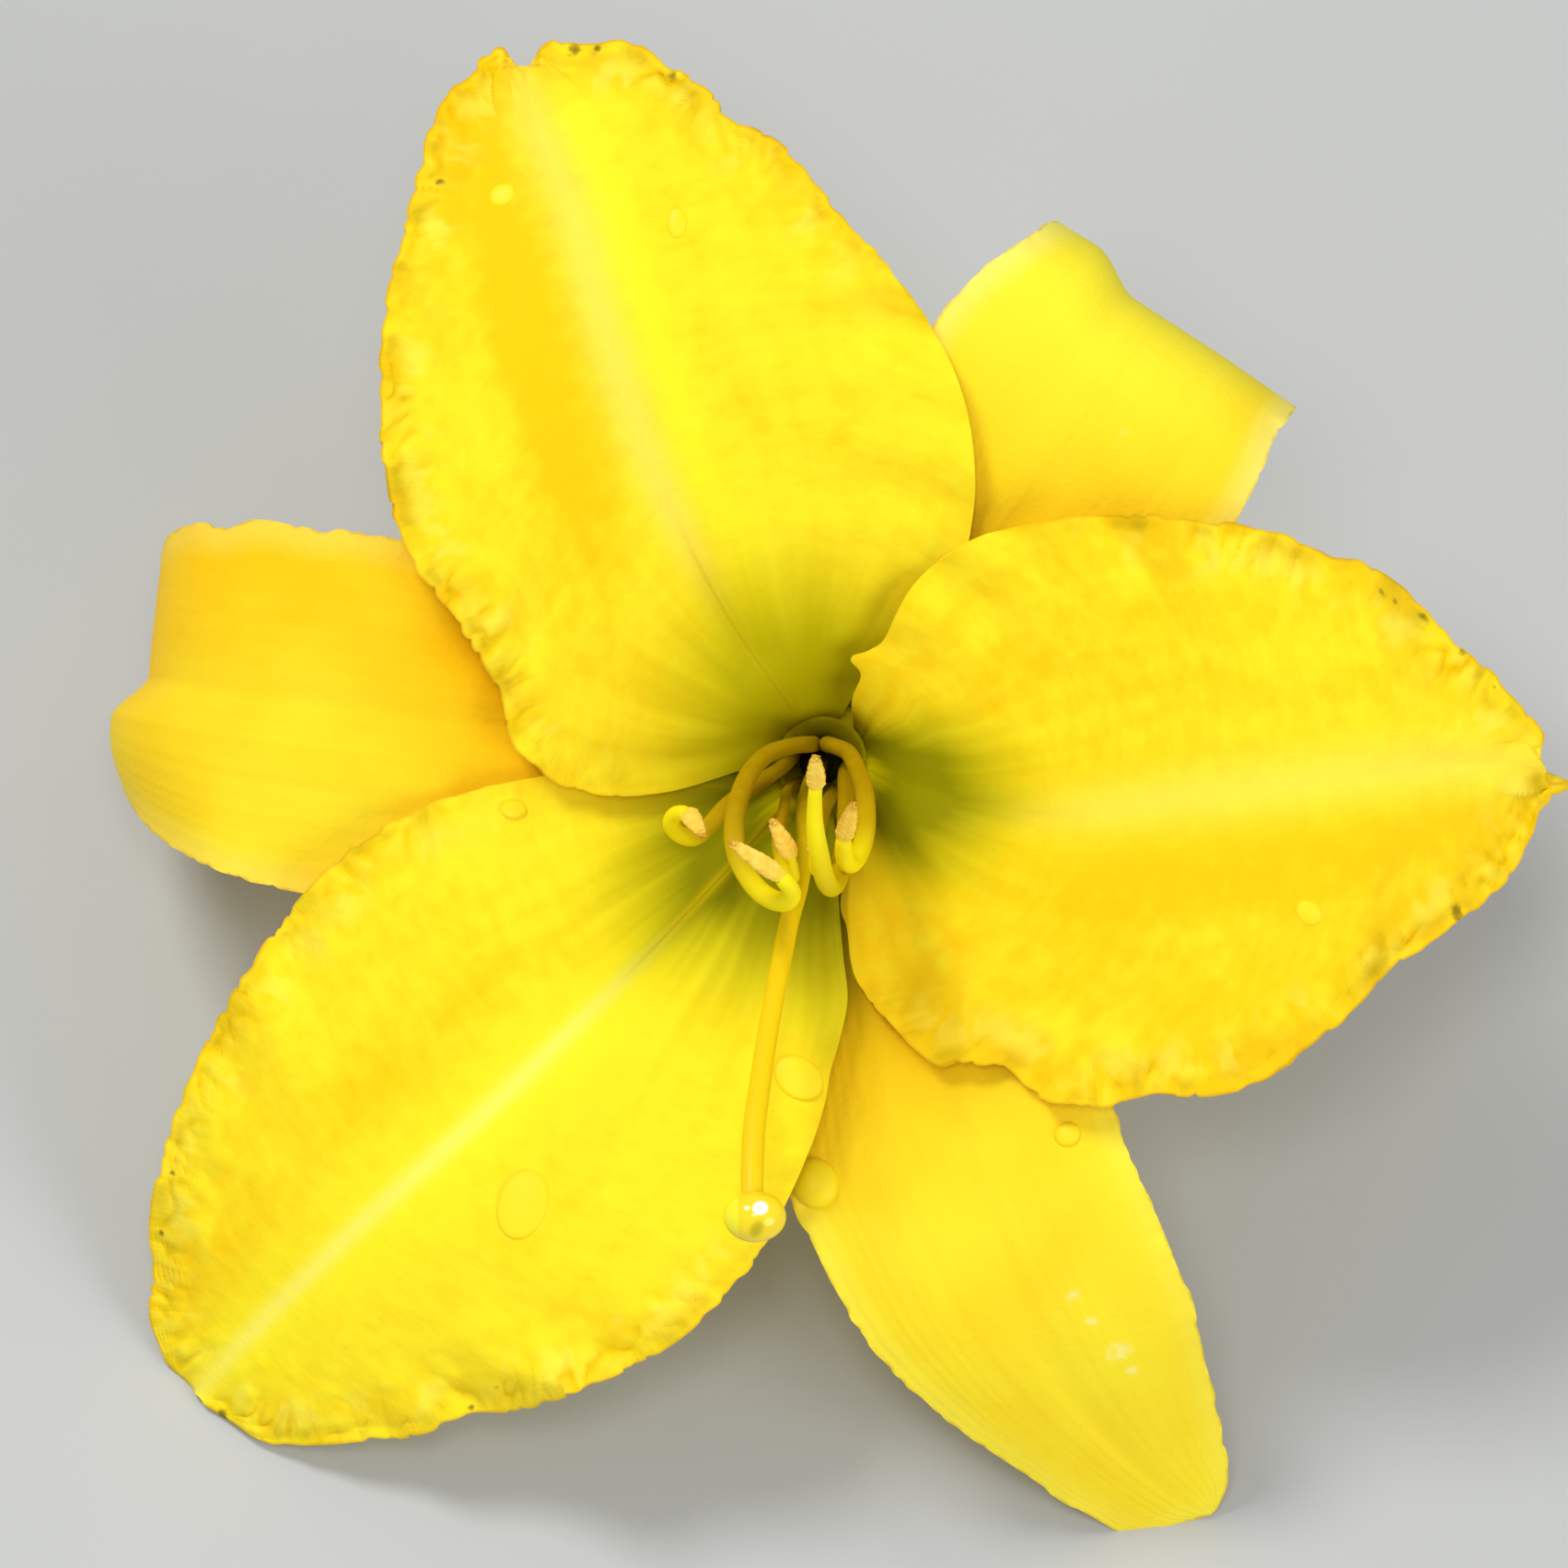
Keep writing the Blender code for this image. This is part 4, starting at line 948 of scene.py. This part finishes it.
# Each filament's path, its radius and that of its point, and the two ends of its anther.
STAMENS = (
    (
        (
            (-1.1, 1.7, -8.0), (-0.85, 1.7, 2.0), (-1.2, 1.65, 9.0), (-2.8, 1.5, 13.0),
            (-5.1, 0.75, 17.0), (-6.8, -0.9, 21.5), (-7.8, -3.0, 25.5), (-8.4, -5.6, 29.5),
            (-8.3, -8.4, 32.5), (-7.5, -10.4, 34.5), (-6.3, -12.1, 36.3), (-4.8, -13.2, 38.3),
            (-3.5, -13.4, 40.0), (-2.9, -12.6, 41.5),
        ),
        (1.0, 0.85), ((-3.5, -11.3, 42.8), (-8.9, -7.6, 45.0)),
    ),
    (
        (
            (-2.1, -1.9, -8.0), (-2.4, -2.1, 2.0), (-3.3, -2.6, 9.0), (-3.6, -4.2, 15.5),
            (-4.0, -6.2, 21.5), (-4.25, -8.0, 26.5), (-3.9, -9.7, 30.5), (-3.2, -11.0, 33.8),
            (-2.7, -11.0, 36.3),
        ),
        (0.62, 0.47), ((-2.8, -9.3, 38.8), (-4.9, -5.5, 42.3)),
    ),
    (
        (
            (3.0, -0.3, -8.0), (2.7, -0.4, 3.0), (2.3, -1.2, 10.0), (2.3, -3.0, 17.0), (2.3, -5.6, 23.0),
            (2.1, -8.2, 28.0), (1.75, -10.2, 32.0), (1.3, -11.6, 35.0), (0.75, -12.0, 37.3),
            (0.2, -11.1, 39.0), (-0.3, -9.0, 40.8), (-0.7, -6.4, 42.4), (-0.75, -4.2, 43.6),
        ),
        (0.98, 0.66), ((-0.6, -2.7, 44.2), (-0.7, 0.6, 48.4)),
    ),
    (
        (
            (1.1, 1.7, -8.0), (0.85, 1.7, 2.0), (0.5, 1.65, 8.5), (1.3, 1.45, 11.5), (2.5, 0.85, 14.5),
            (3.4, -0.9, 19.0), (4.0, -2.8, 23.0), (4.2, -4.9, 26.5), (4.1, -6.8, 29.2), (3.6, -8.6, 31.6),
            (2.85, -9.75, 33.8), (2.2, -9.5, 36.0),
        ),
        (0.95, 0.82), ((1.9, -7.7, 38.0), (3.0, -3.9, 42.8)),
    ),
    (
        (
            (-2.9, 0.3, -8.0), (-3.0, 0.2, 2.0), (-4.2, -0.8, 9.5), (-6.6, -2.4, 14.0),
            (-9.2, -4.3, 17.5), (-10.9, -6.2, 20.0), (-12.3, -7.3, 22.3), (-13.7, -7.0, 24.5),
            (-14.5, -6.0, 26.2), (-14.1, -5.1, 27.6),
        ),
        (0.85, 0.75), ((-13.0, -4.7, 28.6), (-11.3, -7.2, 33.8)),
    ),
    (
        (
            (1.0, -2.8, -8.0), (1.0, -3.0, 3.0), (0.7, -3.6, 10.0), (0.1, -4.6, 16.0), (-0.4, -6.3, 21.5),
            (-0.6, -8.4, 26.0), (-0.55, -10.0, 29.0), (-0.5, -10.3, 31.0),
        ),
        (0.8, 0.5), ((-0.5, -9.2, 32.8), (-0.8, -5.0, 36.6)),
    ),
)


def stem_rings(line, radii):
    """Rings square to a line, carried along it without twisting."""
    steps = np.gradient(line, axis=0)
    steps /= norm(steps, axis=1)[:, None]
    side = np.cross(steps[0], (0.3, 1.0, 0.2))
    rings = []
    for centre, way, radius in zip(line, steps, radii):
        side = side - way * side.dot(way)
        side = side / norm(side)
        other = np.cross(way, side)

        def point(angle, centre=centre, side=side, other=other, radius=radius):
            return centre + radius * (math.cos(angle) * side + math.sin(angle) * other)

        rings.append(point)
    return rings


def rounded_ends(radii, line):
    """Draws a stem's radius in to nothing at both ends, as a round tip does."""
    along = run_along(line)
    left = np.minimum(along, along[-1] - along)
    reach = np.clip(left / radii, 0.0, 1.0)
    return radii * np.sqrt(np.maximum(0.0, 1.0 - (1.0 - reach) ** 2))


def stem(name, rings, sides, finish):
    """A stem over its rings, each marked with its share of the way along it."""
    marks = [(share, 0.0) for share in np.linspace(0.0, 1.0, len(rings))]
    piece = loft(name, rings, sides, STEM_SHARP_ANGLE, marks)
    piece.data.materials.append(finish)
    return piece


def stem_skin(name, shine, stops, fleck_scale, fleck_share, fleck_colour, roughness):
    """A stem's finish: a run of colours from its foot to its tip, with flecks."""
    made, shade = skin(name, {"Specular IOR Level": shine})
    share, _, _ = shade.mark("stem_mm")
    flecks = shade.grain(fleck_scale, 2.0)
    colour = shade.node("ShaderNodeValToRGB", {"stops": stops}, {0: share})
    colour = shade.mix(flecks.step(0.45, 0.75) * fleck_share, colour, fleck_colour)
    wear(made, shade, colour, roughness + flecks * 0.16, flecks, 0.06)
    return made


# Brown-gold for about two thirds of the way is painted shade, where the filaments lie in the throat;
# bright yellow towards the point.
FILAMENT_COLOURS = (
    (0.0, (0.34, 0.22, 0.0005)), (0.45, (0.40, 0.25, 0.0005)), (0.64, (0.43, 0.26, 0.001)),
    (0.76, (0.56, 0.38, 0.001)), (0.84, (0.82, 0.64, 0.002)), (0.92, (0.96, 0.80, 0.004)),
)
filament_finish = stem_skin(
    "filament_finish", 0.15, FILAMENT_COLOURS, 0.8, 0.1, (0.85, 0.60, 0.004), 0.36
)

filament_share = np.linspace(0.0, 1.0, FILAMENT_RINGS)
for number, (path, (full, thin), (foot, tip)) in enumerate(STAMENS, 1):
    foot, tip = np.array(foot), np.array(tip)
    seat = foot + SEAT_DEPTH * (tip - foot) / norm(tip - foot)
    line = smooth_line(list(path) + [tuple(seat)], FILAMENT_RINGS)
    swelling = (1.0 - FILAMENT_FOOT_SHARE) * eased(filament_share, 0.3, 0.7)
    radii = full * (FILAMENT_FOOT_SHARE + swelling)
    radii += (thin - full) * eased(filament_share, 0.86, 1.0)
    rings = stem_rings(line, rounded_ends(radii, line))
    piece = stem(f"filament_{number}_skin", rings, FILAMENT_SIDES, filament_finish)
    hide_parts(f"filament_{number}")
    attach(piece, "root")


# The anthers. Each is a long tan pollen sac in two halves, split along its face, and it has dried
# a little, so that its edges and ends are brown. It is fixed by its foot to the filament's point.
ANTHER_RADIUS = 0.92
ANTHER_RINGS, ANTHER_SIDES = 80, 40
ANTHER_TANS = ((1.0, 0.60, 0.06), (1.0, 0.70, 0.11))
SLIT_BROWN = (0.42, 0.16, 0.006)
TIP_BROWN = (0.52, 0.24, 0.01)
ANTHER_FOOT = (0.97, 0.72, 0.03)
POLLEN_SHADE = (0.70, 0.40, 0.03)

anther_finish, shade = skin("anther_finish", {"Specular IOR Level": 0.2})
share, _, around = shade.mark("stem_mm")
pollen = shade.grain(4.5, 3.0)
coarse = shade.grain(1.3, 2.0)
colour = shade.mix(coarse.step(0.35, 0.65), *ANTHER_TANS)
slit = (around.math("COSINE", around).size() - 1.0).size().bell(0.05)
ends = share.step(0.80, 0.95) * pollen.step(0.36, 0.52)
colour = shade.layered(
    colour,
    (slit * pollen.step(0.3, 0.5) * 0.8, SLIT_BROWN),
    (ends * 0.8, TIP_BROWN),
    (share.fall(0.0, 0.3) * 0.8, ANTHER_FOOT),
    (pollen.step(0.64, 0.72) * 0.2, POLLEN_SHADE),
)
wear(anther_finish, shade, colour, 0.75 + pollen * 0.15, pollen, 0.07)

anther_share = np.linspace(0.0, 1.0, ANTHER_RINGS)
swelling = np.minimum(1.0, 0.25 + anther_share / 0.3) ** 0.6
radii = ANTHER_RADIUS * swelling * (1.0 - anther_share**10) ** 0.5
radii *= np.minimum(1.0, anther_share / 0.04) ** 0.5 * (1.0 - 0.42 * eased(anther_share, 0.3, 1.0))
for number, (_, _, (foot, tip)) in enumerate(STAMENS, 1):
    foot, tip = np.array(foot), np.array(tip)
    line = foot + (tip - foot) * anther_share[:, None]
    way = (tip - foot) / norm(tip - foot)
    face = np.array([0.0, 0.0, 1.0]) - way * way[2]
    face /= norm(face)
    wing = np.cross(face, way)
    draw = random.Random(number)
    shifts = [draw.uniform(0.0, 6.28) for _ in range(4)]
    rings = []
    for s, centre, radius in zip(anther_share, line, radii):
        def point(angle, s=s, centre=centre, radius=radius):
            lobes = 0.1 * math.cos(2.0 * angle)
            groove = 0.3 * math.exp(-((math.cos(angle) ** 2 - 1.0) / 0.06) ** 2)
            groove += 0.12 * math.exp(-((angle - math.pi / 2.0) / 0.35) ** 2)
            grains = 0.03 * math.sin(31.0 * s + shifts[0] + 5.0 * math.sin(angle + shifts[1]))
            grains += 0.025 * math.sin(57.0 * s + 9.0 * math.cos(angle + shifts[2]) + shifts[3])
            grains *= 1.0 + 4.0 * float(eased(s, 0.8, 0.95))
            size = radius * (1.0 + lobes - groove + grains)
            return centre + size * (math.cos(angle) * wing + 0.85 * math.sin(angle) * face)
        rings.append(point)
    piece = stem(f"anther_{number}_skin", rings, ANTHER_SIDES, anther_finish)
    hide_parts(f"anther_{number}")
    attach(piece, "root")


# The pistil. One piece: the ovary in the foot of the tube, drawn out into the long golden style
# that runs down over the lower left petal and ends in a small round stigma.
PISTIL = (
    (0.0, 0.0, -23.2, 1.2), (0.0, 0.0, -21.8, 1.95), (0.0, 0.0, -19.4, 2.1), (0.0, 0.0, -17.0, 1.6),
    (0.0, 0.0, -15.0, 1.0), (-0.2, -0.3, -7.0, 0.85), (-0.5, -0.9, 2.0, 0.85), (-1.2, -2.5, 8.0, 0.85),
    (-1.7, -5.1, 13.0, 0.88), (-1.7, -8.7, 18.3, 0.9), (-2.25, -12.0, 22.3, 0.92),
    (-3.15, -15.3, 25.8, 0.95), (-4.2, -20.6, 30.3, 0.97), (-5.2, -25.9, 34.6, 1.0),
    (-5.9, -30.5, 38.2, 1.04), (-6.5, -35.0, 41.5, 1.1), (-6.7, -39.6, 44.2, 1.1),
    (-6.65, -42.4, 45.6, 1.05), (-6.6, -43.6, 46.2, 1.0),
)
PISTIL_RINGS = 180
PISTIL_COLOURS = (
    (0.0, (0.30, 0.33, 0.02)), (0.3, (0.32, 0.23, 0.001)), (0.46, (0.60, 0.42, 0.001)),
    (0.58, (0.78, 0.55, 0.001)), (0.75, (0.94, 0.64, 0.002)),
)

pistil_rows = smooth_line(PISTIL, PISTIL_RINGS)
pistil_line = pistil_rows[:, :3]
pistil_rings = stem_rings(pistil_line, rounded_ends(pistil_rows[:, 3], pistil_line))
pistil_finish = stem_skin("pistil_finish", 0.2, PISTIL_COLOURS, 0.7, 0.15, (0.95, 0.70, 0.01), 0.34)
pistil = stem("pistil_skin", pistil_rings, FILAMENT_SIDES, pistil_finish)
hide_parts("pistil")
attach(pistil, "root")


# Drops of water, rounded by their own surface. Their yellow is painted, as the tissue seen through
# them, with painted shade at their rims: one hangs round the tip of the style, one sits where the
# lower right sepal comes out from under a petal, and the rest lie flat on the tissue.
DROPS = (
    ("drop_on_sepal", "sepal_lower_right", (-0.67, -40.4), (2.25, 2.5), 1.5, 10.0),
    ("drop_on_sepal_small", "sepal_lower_right", (23.6, -35.8), (1.3, 1.15), 0.6, 0.0),
    ("drop_on_petal_smear", "petal_lower_left", (-2.2, -30.3), (2.5, 1.95), 0.36, -20.0),
    ("drop_on_petal_flat", "petal_lower_left", (-28.6, -42.7), (2.4, 3.4), 0.3, 25.0),
    ("drop_on_petal_right", "petal_right", (46.6, -14.4), (1.1, 1.4), 0.32, 10.0),
    ("drop_on_petal_upper", "petal_upper", (-30.8, 54.3), (1.3, 1.1), 0.24, 0.0),
    ("drop_on_petal_upper_pale", "petal_upper", (-14.0, 51.5), (1.0, 1.5), 0.3, -20.0),
    ("drop_on_petal_left_pale", "petal_lower_left", (-29.7, -4.6), (0.9, 1.4), 0.3, 0.0),
)
DROP_LIFT = 0.32
STYLE_DROP_PLACE = Vector((-6.46, -43.4, 46.0))
STYLE_DROP_RADII = (3.0, 2.45, 2.5)
flat_water, shade = skin("flat_water_finish", {"Specular IOR Level": 0.18})
_, _, height = shade.mark("drop_share")
# Painted with the yellow of the tissue seen through the water, and darker at the rim as painted shade.
edge = height.fall(0.2, 0.55)
colour = shade.mix(edge * 0.35, (1.0, 0.77, 0.012), (0.84, 0.60, 0.003))
wear(flat_water, shade, colour, 0.42 + edge * 0.2)

style_water, shade = skin("style_water_finish", {"Specular IOR Level": 0.4})
across, up_share, height = shade.mark("drop_share")
# Painted light and shade of a clear drop: a lemon crescent at its left, a darker rim, an olive shadow low
# down and a highlight above right.
shadow = (across + up_share * -0.25 - 0.18).bell(0.24) * (up_share + 0.45).bell(0.36)
gleam = (across - 0.18).bell(0.3) * (up_share - 0.35).bell(0.32)
edge = height.fall(0.1, 0.4)
colour = shade.mix(across.step(-0.58, -0.48), (1.0, 0.92, 0.02), (1.0, 0.74, 0.015))
colour = shade.layered(
    colour,
    (edge * 0.5, (0.76, 0.58, 0.003)),
    (shadow.step(0.1, 0.9) * 0.8, (0.50, 0.42, 0.003)),
    (gleam.step(0.4, 0.6), (1.0, 0.95, 0.80)),
)
wear(style_water, shade, colour, 0.1 + edge * 0.2)


def drop(name, place, turn, radii, water):
    bm = bmesh.new()
    bmesh.ops.create_uvsphere(bm, u_segments=48, v_segments=32, radius=1.0)
    layer = bm.verts.layers.float_vector.new("drop_share")
    for vert in bm.verts:
        vert[layer] = vert.co
        vert.co = Vector(co * radius for co, radius in zip(vert.co, radii))
    bmesh.ops.transform(bm, matrix=to_world @ Matrix.Translation(place) @ turn, verts=bm.verts[:])
    piece = finished(name, bm, SMOOTH_ANGLE)
    piece.data.materials.append(water)
    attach(piece, "root")


drop("drop_on_style", STYLE_DROP_PLACE, Matrix(), STYLE_DROP_RADII, style_water)
for drop_name, blade_name, (x, y), (wide, deep), high, slant in DROPS:
    spot, way = spot_on(blade_name, x, y)
    turn = way.to_track_quat("Z", "Y").to_matrix().to_4x4()
    turn = turn @ Matrix.Rotation(math.radians(slant), 4, "Z")
    drop(drop_name, spot + way * DROP_LIFT, turn, (wide, deep, high), flat_water)


# The camera looks straight down the flower's axis, as the photograph does. The photograph is
# 1703 pixels wide, and a pixel is 0.0885 mm of the bloom at the height of its petals.
PIXEL_MM = 0.0885
FRAME_PIXELS = 1703
VIEW_CENTRE = Vector((-3.67, -2.17, 20.0))
CAMERA_DISTANCE = 3000.0
SENSOR_WIDTH = 36.0

camera_data = bpy.data.cameras.new("camera")
camera = bpy.data.objects.new("camera", camera_data)
bpy.context.scene.collection.objects.link(camera)
camera_data.sensor_width = SENSOR_WIDTH
camera_data.lens = SENSOR_WIDTH * CAMERA_DISTANCE / (FRAME_PIXELS * PIXEL_MM)
camera_place = to_world @ (VIEW_CENTRE + Vector((0.0, 0.0, CAMERA_DISTANCE)))
camera.matrix_world = Matrix.Translation(camera_place) @ bloom_turn.to_4x4()
camera_data.clip_end = 20.0
bpy.context.scene.camera = camera


# The studio: a plain pale floor, a lamp at the upper left of the picture, a broader one as strong
# at the lower right, a weaker one beside the camera, and an even pale sky.
SKY_COLOUR, SKY_STRENGTH = (0.95, 0.97, 1.0, 1.0), 0.42
FLOOR_COLOURS = ((0.52, 0.53, 0.52), (0.56, 0.57, 0.56))


def lamp(name, place, size, power):
    data = bpy.data.lights.new(name, "AREA")
    data.shape = "DISK"
    data.size = size
    data.energy = power
    light = bpy.data.objects.new(name, data)
    bpy.context.scene.collection.objects.link(light)
    light.location = place
    light.rotation_mode = "QUATERNION"
    light.rotation_quaternion = (-Vector(place)).to_track_quat("-Z", "Y")


lamp("main_lamp", (-0.55, 0.3, 0.9), 0.35, 6.0)
lamp("side_lamp", (0.7, -0.8, 0.6), 0.8, 6.0)
lamp("front_lamp", bloom_turn @ Vector((-0.06, 0.12, 1.2)), 0.25, 2.2)
world = bpy.data.worlds.new("pale_sky")
bpy.context.scene.world = world
world.use_nodes = True
sky = world.node_tree.nodes["Background"].inputs
sky["Color"].default_value = SKY_COLOUR
sky["Strength"].default_value = SKY_STRENGTH

floor_bm = bmesh.new()
bmesh.ops.create_grid(floor_bm, x_segments=1, y_segments=1, size=3.0)
floor = finished("floor", floor_bm, 30.0)
floor_finish, shade = skin("floor_finish", {"Roughness": 0.8, "Specular IOR Level": 0.2})
wear(floor_finish, shade, shade.mix(shade.grain(0.02, 2.0), *FLOOR_COLOURS))
floor.data.materials.append(floor_finish)
bpy.context.scene.view_settings.view_transform = "Standard"
